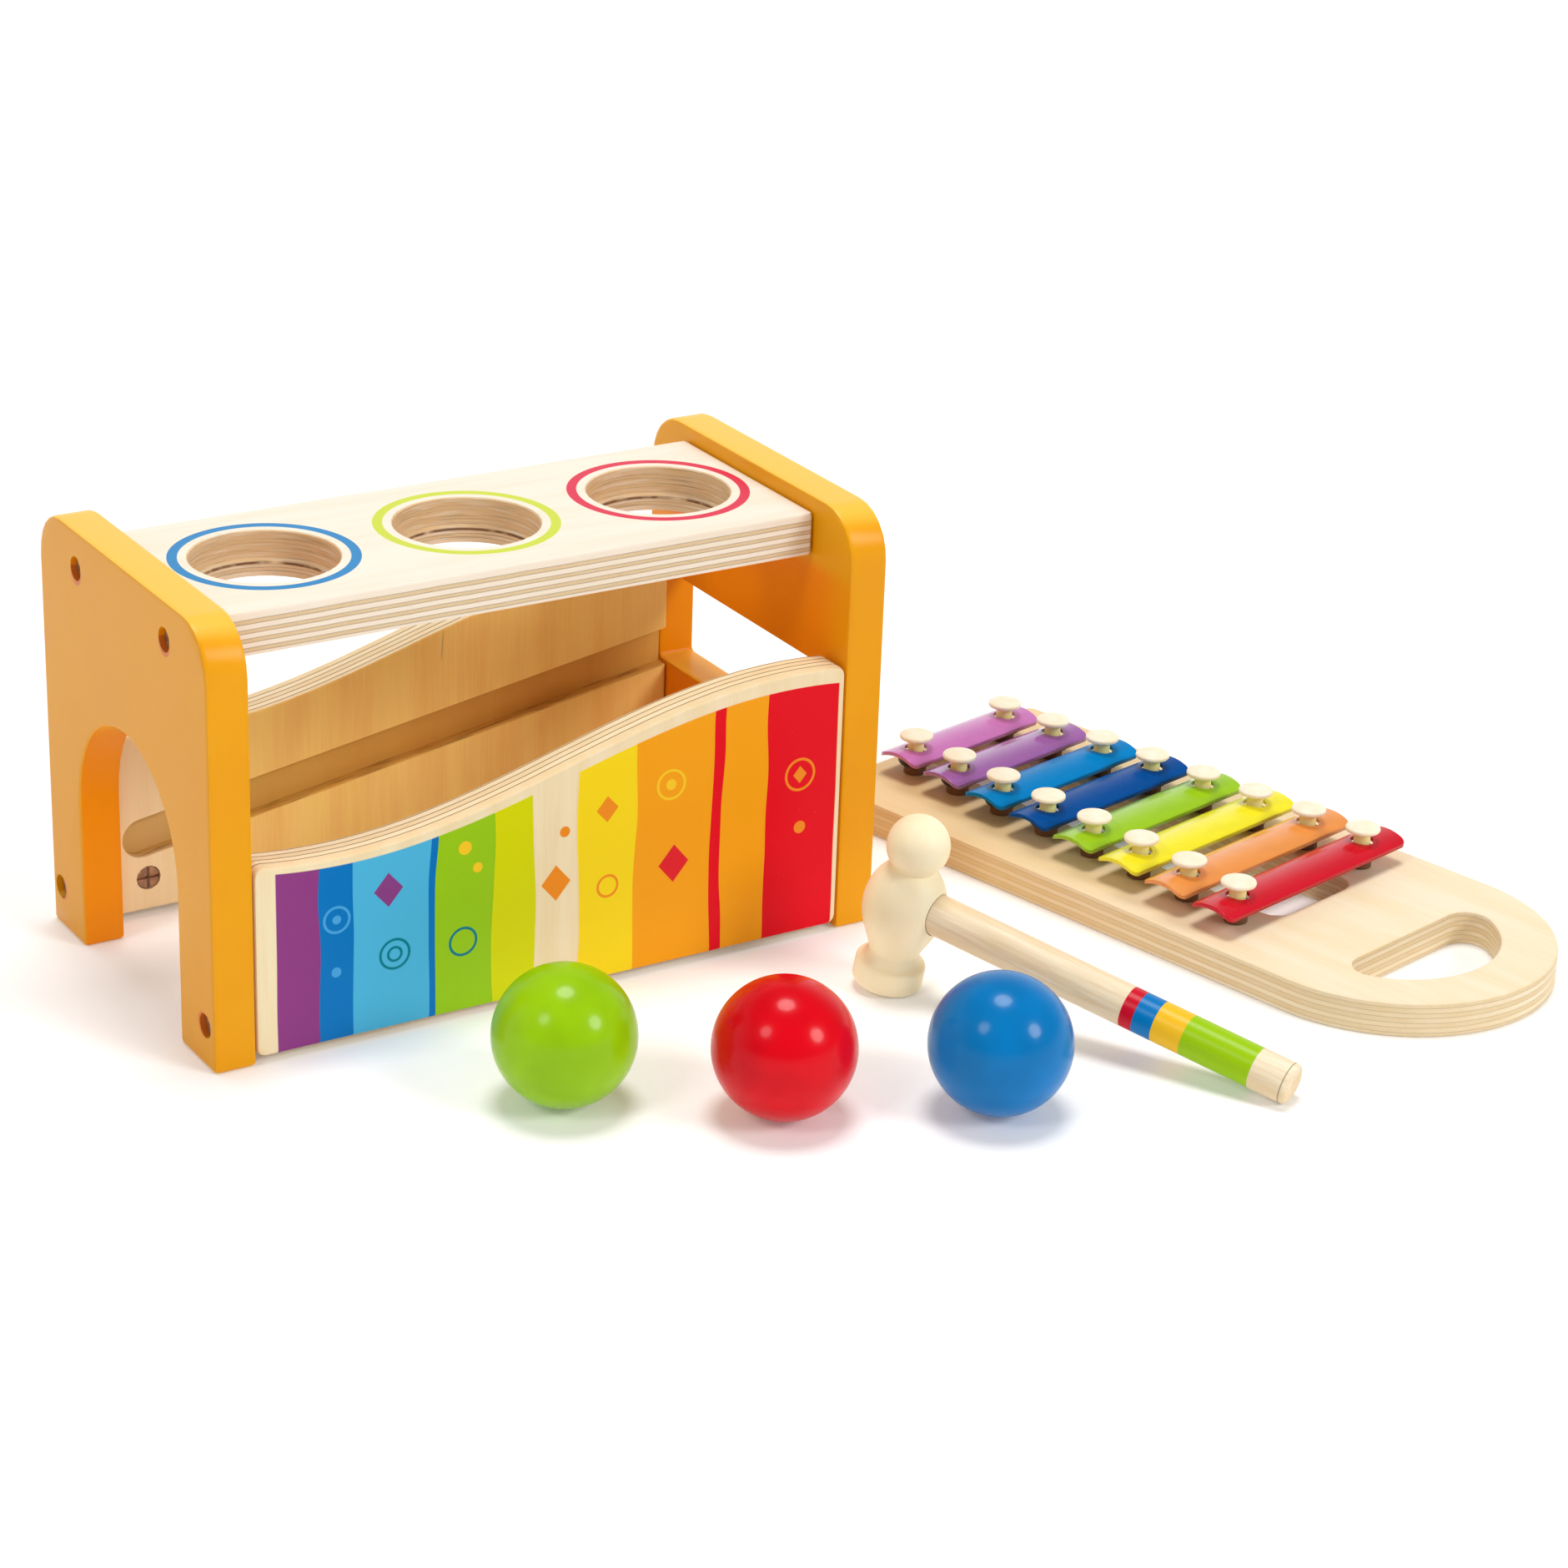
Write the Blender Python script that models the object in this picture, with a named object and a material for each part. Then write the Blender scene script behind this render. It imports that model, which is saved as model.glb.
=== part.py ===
"""Xylophone pounding bench: a plywood bench with three ball holes, a xylophone that slides in
through its right end, a turned hammer and three balls, laid out as in the photograph.

Metres, +Z up. The bench is drawn about its own middle, X along its length from the left end to
the right, Y from front to back. The last step moves the whole set so that the middle of its
footprint is the origin. Run with: blender --background --python part.py
"""

import math

import bmesh
import bpy
from mathutils import Matrix, Vector

# Clearances that pieces share
SEAT_GAP = 0.0003
CUT_OVERRUN = 0.004

# Bench: its length follows from the ball holes
BENCH_DEPTH = 0.129
BENCH_HEIGHT = 0.146
END_THICKNESS = 0.014
SIDE_THICKNESS = 0.014
EDGE_ROUNDING = 0.0014
FOOT_CORNER_RADIUS = 0.0018

# End panels
END_CORNER_RADIUS = 0.017
ARCH_HALF_WIDTH = 0.038
ARCH_HEIGHT = 0.090
WINDOW_CORNER_RADIUS = 0.0015
WINDOW_SILL_LIFT = 0.0013
WINDOW_HEADROOM = 0.0030

# Front and back panels: the top edge is half a wave, low at the left and high at the right
SIDE_FLOOR_GAP = 0.0025
SIDE_CORNER_RADIUS = 0.003
WAVE_MIDDLE_HEIGHT = 0.0802
WAVE_AMPLITUDE = 0.0154
WAVE_LOW_SHARE = 0.13
WAVE_CREST_SHARE = 0.915

# Groove that carries the xylophone, sloping down to the left
GROOVE_SLOPE = math.radians(9.4)
GROOVE_LOW_HEIGHT = 0.0289
GROOVE_END_MARGIN = 0.0051
GROOVE_DEPTH = 0.0056
GROOVE_PLAY = 0.0020
SLIDE_PLAY = 0.0006

# Top board and ball holes
TOP_THICKNESS = 0.015
TOP_DEPTH = 0.083
TOP_DROP = 0.005
TOP_CORNER_RADIUS = 0.0016
HOLE_COUNT = 3
HOLE_GAP = 0.0232
HOLE_END_MARGIN = 0.0108
HOLE_PLAY = 0.0014
HOLE_LIP_PLAY = 0.0001
HOLE_LIP_HEIGHT = 0.0045
HOLE_MOUTH_CHAMFER = 0.0004

# Connector bolts with their cross dowel nuts
BOLT_RADIUS = 0.0025
BOLT_HEAD_RADIUS = 0.0038
BOLT_HEAD_HEIGHT = 0.0032
BOLT_RECESS = 0.0020
SOCKET_RADIUS = 0.0018
SOCKET_DEPTH = 0.0018
NUT_RADIUS = 0.0040
NUT_INSET = 0.0140
NUT_BLIND_LENGTH = 0.0045
NUT_MOUTH_RECESS = 0.0005
NUT_SLOT_WIDTH = 0.0011
NUT_SLOT_DEPTH = 0.0011
BOLT_TIP = 0.0055
SIDE_BOLT_HEIGHT = 0.0142
TOP_BOLT_INSET = 0.0073

# Balls. Each place is how far right of the bench's middle, and how far clear of its front
BALL_RADIUS = 0.0225
BALL_GREEN_PLACE = (-0.0334, 0.0417)
BALL_RED_PLACE = (0.0214, 0.0802)
BALL_BLUE_PLACE = (0.0813, 0.1087)

# Xylophone board, in its own frame: X from its square end to its round end, Y across. Its near
# square corner lies right of the bench, behind the bench's middle
XYLOPHONE_PLACE = (0.0335, 0.0196)
XYLOPHONE_TURN = math.radians(-76.7)
BOARD_THICKNESS = 0.012
BOARD_CORNER_RADIUS = 0.003
BOARD_EDGE_ROUNDING = 0.0010
HAND_HOLE_RIM = 0.0189
HAND_HOLE_LENGTH = 0.0305
HAND_HOLE_GAP = 0.0445
HAND_HOLE_CORNER_RADIUS = 0.0075
SLOT_OVERRUN = 0.0082
SLOT_PEG_MARGIN = 0.0120
SLOT_CORNER_RADIUS = 0.0070

# Sound bars, shortest first
BAR_COUNT = 8
BAR_FIRST_INSET = 0.0150
BAR_GAP = 0.0048
BAR_SHORT_LENGTH = 0.0675
BAR_LONG_LENGTH = 0.0965
BAR_WIDTH = 0.0175
BAR_THICKNESS = 0.0015
BAR_RISE = 0.0025
BAR_CORNER_RADIUS = 0.0026
BAR_HOLE_PLAY = 0.0011
BAR_EDGE_HEIGHT = 0.0075
BAR_HOLE_SPACING_SHARE = 0.70

# Pegs and rubber grommets
PEG_RADIUS = 0.0029
PEG_FLOOR = 0.0035
PEG_CHAMFER = 0.0004
PEG_LIFT_ROOM = 0.0034
PEG_HEAD_OVERHANG = 0.0020
PEG_HEAD_RIM = 0.0014
PEG_HEAD_DOME = 0.0009
PEG_HEAD_ROUNDING = 0.0005
GROMMET_WALL = 0.0014
GROMMET_REACH = 0.0022
GROMMET_FLANGE_HEIGHT = 0.0036
GROMMET_ROUNDING = 0.0007

# Hammer head, turned about its axis, sizes up from the foot
HAMMER_PLACE = (0.0980, 0.0432)
HAMMER_TURN = math.radians(-62.8)
FOOT_RADIUS = 0.0116
FOOT_HEIGHT = 0.0086
FOOT_ROUNDING = 0.0016
WAIST_RADIUS = 0.0082
WAIST_RISE = 0.0032
BELLY_RADIUS = 0.01365
BELLY_RISE = 0.0172
SHOULDER_REACH = 0.0170
KNOB_RADIUS = 0.01035
KNOB_RISE = 0.02225

# Hammer handle
HANDLE_RADIUS = 0.0068
HANDLE_REACH = 0.1415
HANDLE_RISE = 0.0019
HANDLE_ROUNDING = 0.0018
HANDLE_SINK = 0.00245
TENON_RADIUS = 0.0045
TENON_DEPTH = 0.0065

# How finely curves are drawn
ROUNDING_STEPS = 2
CORNER_STEPS = 6
SMALL_CORNER_STEPS = 3
ARCH_STEPS = 18
WAVE_STEPS = 26
ROUND_END_STEPS = 30
HOLE_SIDES = 36
BALL_SIDES = 28
BALL_RINGS = 14
HEAD_SIDES = 24
HANDLE_SIDES = 20
PEG_SIDES = 14
GROMMET_SIDES = 12
BOLT_SIDES = 10
NUT_SIDES = 14
HEX_SIDES = 6
BAR_STRIPS = 4
BAR_CORNER_STEPS = 3
SMOOTH_ANGLE = math.radians(38)
QUARTER = math.pi / 2

# Places worked out from the sizes above
HOLE_RADIUS = BALL_RADIUS + HOLE_PLAY
HOLE_PITCH = 2 * HOLE_RADIUS + HOLE_GAP
BOARD_HALF_LENGTH = HOLE_PITCH * (HOLE_COUNT - 1) / 2 + HOLE_RADIUS + HOLE_END_MARGIN
INNER_END = BOARD_HALF_LENGTH + SEAT_GAP
BENCH_LENGTH = 2 * (INNER_END + END_THICKNESS)
INNER_SIDE = BENCH_DEPTH / 2 - SIDE_THICKNESS
TOP_SURFACE = BENCH_HEIGHT - TOP_DROP
GROOVE_WIDTH = BOARD_THICKNESS + GROOVE_PLAY
WINDOW_HALF_WIDTH = INNER_SIDE + GROOVE_DEPTH
BAR_PITCH = BAR_WIDTH + BAR_GAP
BOARD_WIDTH = 2 * (WINDOW_HALF_WIDTH - SLIDE_PLAY)
HAND_HOLE_START = BAR_FIRST_INSET + BAR_PITCH * (BAR_COUNT - 1) + HAND_HOLE_GAP
BOARD_LENGTH = HAND_HOLE_START + HAND_HOLE_LENGTH + HAND_HOLE_RIM
BAR_ARCH_RADIUS = (BAR_WIDTH**2 / 4 + BAR_RISE**2) / (2 * BAR_RISE)
BAR_CROWN_HEIGHT = BAR_EDGE_HEIGHT + BAR_RISE
BAR_HOLE_RADIUS = PEG_RADIUS + BAR_HOLE_PLAY
PEG_DEPTH = BOARD_THICKNESS - PEG_FLOOR
PEG_HEAD_RADIUS = BAR_HOLE_RADIUS + PEG_HEAD_OVERHANG
PEG_HEAD_UNDERSIDE = BAR_CROWN_HEIGHT + PEG_LIFT_ROOM
PEG_TOP = PEG_HEAD_UNDERSIDE + PEG_HEAD_RIM + PEG_HEAD_DOME
GROMMET_BORE = PEG_RADIUS + SEAT_GAP
GROMMET_NECK_RADIUS = GROMMET_BORE + GROMMET_WALL
GROMMET_FLANGE_RADIUS = BAR_HOLE_RADIUS + GROMMET_REACH
WAIST_HEIGHT = FOOT_HEIGHT + WAIST_RISE
BELLY_HEIGHT = WAIST_HEIGHT + BELLY_RISE
KNOB_HEIGHT = BELLY_HEIGHT + KNOB_RISE
HANDLE_HEIGHT = BELLY_HEIGHT + HANDLE_RISE
HANDLE_SEAT = BELLY_RADIUS - HANDLE_SINK

# Colours, linear
ORANGE_PAINT = (0.84, 0.36, 0.03)
PALE_PLY = (0.86, 0.70, 0.47)
PALE_TURNED_WOOD = (0.88, 0.74, 0.50)
BLACK_RUBBER = (0.012, 0.012, 0.012)
ZINC = (0.62, 0.60, 0.56)
GREEN_PAINT = (0.30, 0.58, 0.02)
RED_PAINT = (0.72, 0.01, 0.03)
BLUE_PAINT = (0.01, 0.23, 0.62)
BARS = (
    ("pink", (0.62, 0.20, 0.52)),
    ("purple", (0.22, 0.05, 0.32)),
    ("light_blue", (0.01, 0.23, 0.62)),
    ("dark_blue", (0.01, 0.06, 0.34)),
    ("green", (0.34, 0.64, 0.03)),
    ("yellow", (0.92, 0.80, 0.05)),
    ("orange", (0.88, 0.32, 0.05)),
    ("red", (0.68, 0.01, 0.03)),
)


def clear_scene():
    """Removes the startup objects."""
    for obj in list(bpy.data.objects):
        bpy.data.objects.remove(obj, do_unlink=True)


def paint(name, colour, roughness, metallic=0.0):
    """A plain Principled material."""
    material = bpy.data.materials.new(name)
    material.use_nodes = True
    shader = material.node_tree.nodes["Principled BSDF"]
    shader.inputs["Base Color"].default_value = (*colour, 1.0)
    shader.inputs["Roughness"].default_value = roughness
    shader.inputs["Metallic"].default_value = metallic
    material.diffuse_color = (*colour, 1.0)
    return material


def empty(name, place, turn=(0, 0, 0), parent=None):
    """A frame that carries other objects."""
    frame = bpy.data.objects.new(name, None)
    frame.location = place
    frame.rotation_euler = turn
    frame.parent = parent
    bpy.context.scene.collection.objects.link(frame)
    return frame


def add_object(name, mesh, parent, material=None):
    """Links a mesh to the scene as a named piece, shaded smooth across shallow angles."""
    obj = bpy.data.objects.new(name, mesh)
    obj.parent = parent
    bpy.context.scene.collection.objects.link(obj)
    if material:
        mesh.materials.clear()
        mesh.materials.append(material)
    return obj


def finished(name, shape):
    """Turns a bmesh into a mesh with outward faces."""
    bmesh.ops.recalc_face_normals(shape, faces=shape.faces)
    mesh = bpy.data.meshes.new(name)
    shape.to_mesh(mesh)
    shape.free()
    mesh.shade_smooth()
    mesh.set_sharp_from_angle(angle=SMOOTH_ANGLE)
    return mesh


def combine(target, tool_mesh, operation, parent):
    """Adds an exact Boolean to target, with a hidden wire object as its other shape."""
    tool = add_object(tool_mesh.name, tool_mesh, parent)
    tool.hide_render = True
    tool.display_type = "WIRE"
    modifier = target.modifiers.new(tool.name, "BOOLEAN")
    modifier.operation = operation
    modifier.solver = "EXACT"
    modifier.object = tool
    return tool


def settled_mesh(target, tools):
    """The mesh of target after its Booleans, for pieces that share one shape."""
    bpy.context.view_layer.update()
    graph = bpy.context.evaluated_depsgraph_get()
    mesh = bpy.data.meshes.new_from_object(target.evaluated_get(graph))
    for obj in (target, *tools):
        bpy.data.objects.remove(obj, do_unlink=True)
    mesh.shade_smooth()
    mesh.set_sharp_from_angle(angle=SMOOTH_ANGLE)
    return mesh


def in_front(place):
    """A point on the floor, right of the bench's middle and clear of its front."""
    right, clear = place
    return right, -BENCH_DEPTH / 2 - clear


def arc(centre, radius, start, end, steps):
    """Points along an arc in the plane, both ends included."""
    angles = [start + (end - start) * i / steps for i in range(steps + 1)]
    return [(centre[0] + radius * math.cos(a), centre[1] + radius * math.sin(a)) for a in angles]


def filleted(corners, steps):
    """An outline from (point, radius) corners: a zero radius stays sharp, any other is an arc."""
    outline = []
    for i, (point, radius) in enumerate(corners):
        here = Vector(point)
        if radius == 0:
            outline.append(tuple(here))
            continue
        back = (Vector(corners[i - 1][0]) - here).normalized()
        ahead = (Vector(corners[(i + 1) % len(corners)][0]) - here).normalized()
        half_angle = back.angle(ahead) / 2
        middle = here + (back + ahead).normalized() * (radius / math.sin(half_angle))
        start = here + back * (radius / math.tan(half_angle)) - middle
        turn = start.angle_signed(here + ahead * (radius / math.tan(half_angle)) - middle)
        for k in range(steps + 1):
            spoke = Matrix.Rotation(-turn * k / steps, 2) @ start
            outline.append(tuple(middle + spoke))
    return outline


def inset(outline, distance):
    """The outline moved to its left by distance, with mitred corners."""
    moved = []
    for i, point in enumerate(outline):
        here = Vector(point)
        before = (here - Vector(outline[i - 1])).normalized()
        after = (Vector(outline[(i + 1) % len(outline)]) - here).normalized()
        normal = Vector((-before.y - after.y, before.x + after.x)).normalized()
        reach = distance / normal.dot(Vector((-after.y, after.x)))
        moved.append(here + normal * reach)
    return moved


def slab(name, outline, holes, thickness, rounding):
    """A flat board from z = 0 to its thickness. The outline runs anticlockwise and holes run
    clockwise, so that the wood lies to their left; all edges are rounded."""
    shape = bmesh.new()
    levels = []
    for k in range(ROUNDING_STEPS + 1):
        angle = QUARTER * k / ROUNDING_STEPS
        levels.append((rounding * (1 - math.sin(angle)), rounding * (1 - math.cos(angle))))
    levels += [(depth, thickness - height) for depth, height in reversed(levels)]
    cap_edges = []
    for loop in [outline, *holes]:
        rings = []
        for depth, height in levels:
            rings.append([shape.verts.new((p.x, p.y, height)) for p in inset(loop, depth)])
        bridge(shape, rings)
        for ring in (rings[0], rings[-1]):
            cap_edges.append([shape.edges.get((ring[i - 1], ring[i])) for i in range(len(ring))])
    for side in (0, 1):
        edges = [edge for ring in cap_edges[side::2] for edge in ring]
        bmesh.ops.triangle_fill(shape, use_beauty=True, use_dissolve=False, edges=edges)
    return finished(name, shape)


def bridge(shape, rings, closed=False):
    """Joins rings of vertices with faces. A ring of one vertex is a point on the axis."""
    pairs = list(zip(rings, rings[1:]))
    if closed:
        pairs.append((rings[-1], rings[0]))
    for lower, upper in pairs:
        for i in range(max(len(lower), len(upper))):
            corners = []
            for ring, k in ((lower, i), (lower, i + 1), (upper, i + 1), (upper, i)):
                vertex = ring[k % len(ring)]
                if vertex not in corners:
                    corners.append(vertex)
            shape.faces.new(corners)


def add_turned(shape, profile, sides, place=None, closed=False):
    """Adds a shape turned about Z from (radius, height) points, bottom to top."""
    place = place or Matrix.Identity(4)
    rings = []
    for radius, height in profile:
        count = sides if radius > 0 else 1
        ring = []
        for i in range(count):
            angle = math.tau * i / count
            spot = Vector((radius * math.cos(angle), radius * math.sin(angle), height))
            ring.append(shape.verts.new(place @ spot))
        rings.append(ring)
    bridge(shape, rings, closed)


def add_rod(shape, radius, low, high, sides, place=None):
    """Adds a plain cylinder along Z."""
    add_turned(shape, [(0, low), (radius, low), (radius, high), (0, high)], sides, place)


def add_box(shape, low, high):
    """Adds a box between two corners."""
    size = Vector(high) - Vector(low)
    middle = (Vector(high) + Vector(low)) / 2
    place = Matrix.Translation(middle) @ Matrix.Diagonal((*size, 1))
    bmesh.ops.create_cube(shape, size=1, matrix=place)


def facing(forward, side, origin=(0, 0, 0)):
    """A place whose local X is forward and local Y is side."""
    x, y = Vector(forward), Vector(side)
    turn = Matrix((x, y, x.cross(y))).transposed().to_4x4()
    return Matrix.Translation(Vector(origin)) @ turn


# Connector bolts


def connector_places():
    """Where each bolt enters: name, point on the end panel's outer face, way in, nut's mouth."""
    places = []
    side_middle = BENCH_DEPTH / 2 - SIDE_THICKNESS / 2
    top_middle = TOP_SURFACE - TOP_THICKNESS / 2
    for end, way in (("left", 1), ("right", -1)):
        face = -way * BENCH_LENGTH / 2
        for row, hand in (("front", -1), ("back", 1)):
            low = (face, hand * side_middle, SIDE_BOLT_HEIGHT)
            high = (face, hand * (TOP_DEPTH / 2 - TOP_BOLT_INSET), top_middle)
            places.append((f"bolt_{end}_{row}_low", low, (way, 0, 0), (0, -hand, 0)))
            places.append((f"bolt_{end}_{row}_high", high, (way, 0, 0), (0, 0, -1)))
    return places


def nut_mouth(name):
    """How far the nut reaches from the bolt's axis to its open end."""
    board = TOP_THICKNESS if name.endswith("high") else SIDE_THICKNESS
    return board / 2 - NUT_MOUTH_RECESS


def connector_mesh(mouth, root):
    """A bolt along X from the outer face, with its cross dowel nut along Y."""
    nut_at = END_THICKNESS + NUT_INSET
    along = facing((0, 0, 1), (0, 1, 0)).inverted()
    bolt = bmesh.new()
    head_end = BOLT_RECESS + BOLT_HEAD_HEIGHT
    profile = [(0, BOLT_RECESS), (BOLT_HEAD_RADIUS, BOLT_RECESS), (BOLT_HEAD_RADIUS, head_end)]
    profile += [(BOLT_RADIUS, head_end), (BOLT_RADIUS, nut_at + BOLT_TIP), (0, nut_at + BOLT_TIP)]
    add_turned(bolt, profile, BOLT_SIDES, along)
    target = add_object("connector", finished("connector", bolt), root)
    nut = bmesh.new()
    across = facing((1, 0, 0), (0, 0, -1), (nut_at, 0, 0))
    add_rod(nut, NUT_RADIUS, -NUT_BLIND_LENGTH, mouth, NUT_SIDES, across)
    tools = [combine(target, finished("nut_body", nut), "UNION", root)]
    cuts = bmesh.new()
    add_rod(cuts, SOCKET_RADIUS, 0, BOLT_RECESS + SOCKET_DEPTH, HEX_SIDES, along)
    long, short = NUT_RADIUS, NUT_SLOT_WIDTH / 2
    floor, past = mouth - NUT_SLOT_DEPTH, mouth + CUT_OVERRUN
    add_box(cuts, (nut_at - long - SEAT_GAP, floor, -short), (nut_at + long + SEAT_GAP, past, short))
    tools.append(combine(target, finished("socket_and_slot", cuts), "DIFFERENCE", root))
    return settled_mesh(target, tools)


def add_connectors(root):
    """The eight bolts with their nuts."""
    zinc = paint("zinc_plate", ZINC, 0.35, 1.0)
    meshes = {}
    for name, point, way_in, mouth_way in connector_places():
        mouth = nut_mouth(name)
        if mouth not in meshes:
            meshes[mouth] = connector_mesh(mouth, root)
        bolt = add_object(name, meshes[mouth], root, zinc)
        bolt.matrix_local = facing(way_in, mouth_way, point)


def bolt_cuts(name):
    """The holes for every connector: stepped in the end panels, crossed in the boards."""
    shape = bmesh.new()
    along = facing((0, 0, 1), (0, 1, 0)).inverted()
    nut_at = END_THICKNESS + NUT_INSET
    seat = BOLT_RECESS + BOLT_HEAD_HEIGHT + SEAT_GAP
    wide, narrow = BOLT_HEAD_RADIUS + SEAT_GAP, BOLT_RADIUS + SEAT_GAP
    far = nut_at + BOLT_TIP + SEAT_GAP
    profile = [(0, -CUT_OVERRUN), (wide, -CUT_OVERRUN), (wide, seat), (narrow, seat)]
    profile += [(narrow, far), (0, far)]
    for bolt, point, way_in, mouth_way in connector_places():
        place = facing(way_in, mouth_way, point)
        add_turned(shape, profile, NUT_SIDES, place @ along)
    return finished(name, shape)


def nut_cuts(name):
    """The bores that hold the nuts."""
    shape = bmesh.new()
    for bolt, point, way_in, mouth_way in connector_places():
        place = facing(way_in, mouth_way, point)
        across = facing((1, 0, 0), (0, 0, -1), (END_THICKNESS + NUT_INSET, 0, 0))
        mouth = nut_mouth(bolt) + NUT_MOUTH_RECESS + CUT_OVERRUN
        low = -NUT_BLIND_LENGTH - SEAT_GAP
        add_rod(shape, NUT_RADIUS + SEAT_GAP, low, mouth, NUT_SIDES, place @ across)
    return finished(name, shape)


def drill(board, root):
    """Cuts the bolt holes and nut bores that meet this board."""
    combine(board, bolt_cuts(f"{board.name}_bolt_holes"), "DIFFERENCE", root)
    if "end_panel" not in board.name:
        combine(board, nut_cuts(f"{board.name}_nut_bores"), "DIFFERENCE", root)


# Bench panels


def groove_height(x):
    """Height of the groove's middle line at x."""
    return GROOVE_LOW_HEIGHT + (x - groove_start()) * math.tan(GROOVE_SLOPE)


def groove_start():
    """X of the middle of the groove's rounded low end."""
    return -INNER_END + GROOVE_END_MARGIN + GROOVE_WIDTH / 2


def window_heights():
    """Sill and lintel of the window. The sill stands a little above the groove, within the play
    of the board in it, and the lintel clears the pegs as they pass the outer face."""
    half = GROOVE_WIDTH / 2 / math.cos(GROOVE_SLOPE)
    sill = groove_height(INNER_END) - half + WINDOW_SILL_LIFT
    rise = (BOARD_THICKNESS / 2 + PEG_TOP) / math.cos(GROOVE_SLOPE)
    lintel = groove_height(BENCH_LENGTH / 2) + rise + WINDOW_HEADROOM
    return sill, lintel


def end_outline(arched):
    """The end panel's outline, Y across and Z up."""
    half = BENCH_DEPTH / 2
    corners = [((-half, 0), FOOT_CORNER_RADIUS)]
    if arched:
        spring = ARCH_HEIGHT - ARCH_HALF_WIDTH
        bow = arc((0, spring), ARCH_HALF_WIDTH, math.pi, 0, ARCH_STEPS)
        corners.append(((-ARCH_HALF_WIDTH, 0), FOOT_CORNER_RADIUS))
        corners += [(point, 0) for point in bow]
        corners.append(((ARCH_HALF_WIDTH, 0), FOOT_CORNER_RADIUS))
    corners.append(((half, 0), FOOT_CORNER_RADIUS))
    corners.append(((half, BENCH_HEIGHT), END_CORNER_RADIUS))
    corners.append(((-half, BENCH_HEIGHT), END_CORNER_RADIUS))
    return filleted(corners, CORNER_STEPS)


def add_end_panels(root):
    """The left panel with its arch and the right panel with its window."""
    orange = paint("orange_paint", ORANGE_PAINT, 0.22)
    sill, lintel = window_heights()
    wide = WINDOW_HALF_WIDTH
    window = [((-wide, sill), WINDOW_CORNER_RADIUS), ((-wide, lintel), WINDOW_CORNER_RADIUS)]
    window += [((wide, lintel), WINDOW_CORNER_RADIUS), ((wide, sill), WINDOW_CORNER_RADIUS)]
    opening = filleted(window, SMALL_CORNER_STEPS)
    ends = (
        ("left_end_panel", end_outline(True), [], -BENCH_LENGTH / 2),
        ("right_end_panel", end_outline(False), [opening], INNER_END),
    )
    for name, outline, holes, x in ends:
        mesh = slab(name, outline, holes, END_THICKNESS, EDGE_ROUNDING)
        panel = add_object(name, mesh, root, orange)
        panel.location = (x, 0, 0)
        panel.rotation_euler = (QUARTER, 0, QUARTER)
        drill(panel, root)


def side_outline():
    """The outline of the front and back panels, X across and Z up."""
    left, right = -BOARD_HALF_LENGTH, BOARD_HALF_LENGTH
    low = left + WAVE_LOW_SHARE * (right - left)
    crest = left + WAVE_CREST_SHARE * (right - left)
    corners = [((left, SIDE_FLOOR_GAP), SIDE_CORNER_RADIUS)]
    corners.append(((right, SIDE_FLOOR_GAP), SIDE_CORNER_RADIUS))
    for i in range(WAVE_STEPS + 1):
        x = right + (left - right) * i / WAVE_STEPS
        swing = math.sin(math.pi * (x - (low + crest) / 2) / (crest - low))
        radius = SIDE_CORNER_RADIUS if i in (0, WAVE_STEPS) else 0
        corners.append(((x, WAVE_MIDDLE_HEIGHT + WAVE_AMPLITUDE * swing), radius))
    return filleted(corners, SMALL_CORNER_STEPS)


def groove_cut(name, outward):
    """A round-ended groove along the slope, open at the right."""
    start = (groove_start(), groove_height(groove_start()))
    length = (2 * BOARD_HALF_LENGTH) / math.cos(GROOVE_SLOPE) + CUT_OVERRUN
    half = GROOVE_WIDTH / 2
    outline = arc((0, 0), half, QUARTER, 3 * QUARTER, CORNER_STEPS * 2)
    outline += [(length, -half), (length, half)]
    shape = bmesh.new()
    tilt = Matrix.Rotation(GROOVE_SLOPE, 3, "Z")
    rings = []
    for wall in (INNER_SIDE - CUT_OVERRUN, INNER_SIDE + GROOVE_DEPTH):
        ring = []
        for point in outline:
            turned = tilt @ Vector((*point, 0))
            spot = (start[0] + turned.x, outward * wall, start[1] + turned.y)
            ring.append(shape.verts.new(spot))
        rings.append(ring)
        shape.faces.new(ring)
    bridge(shape, rings)
    return finished(name, shape)


def add_side_panels(root):
    """The front and back panels with the sloping grooves in their inner faces."""
    ply = paint("side_ply", PALE_PLY, 0.40)
    sides = (
        ("front_panel", -INNER_SIDE, -1),
        ("back_panel", INNER_SIDE + SIDE_THICKNESS, 1),
    )
    for name, y, outward in sides:
        mesh = slab(name, side_outline(), [], SIDE_THICKNESS, EDGE_ROUNDING)
        panel = add_object(name, mesh, root, ply)
        panel.location = (0, y, 0)
        panel.rotation_euler = (QUARTER, 0, 0)
        drill(panel, root)
        combine(panel, groove_cut(f"{name}_groove", outward), "DIFFERENCE", root)


def hole_centres():
    """X of each ball hole."""
    return [(i - (HOLE_COUNT - 1) / 2) * HOLE_PITCH for i in range(HOLE_COUNT)]


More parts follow.
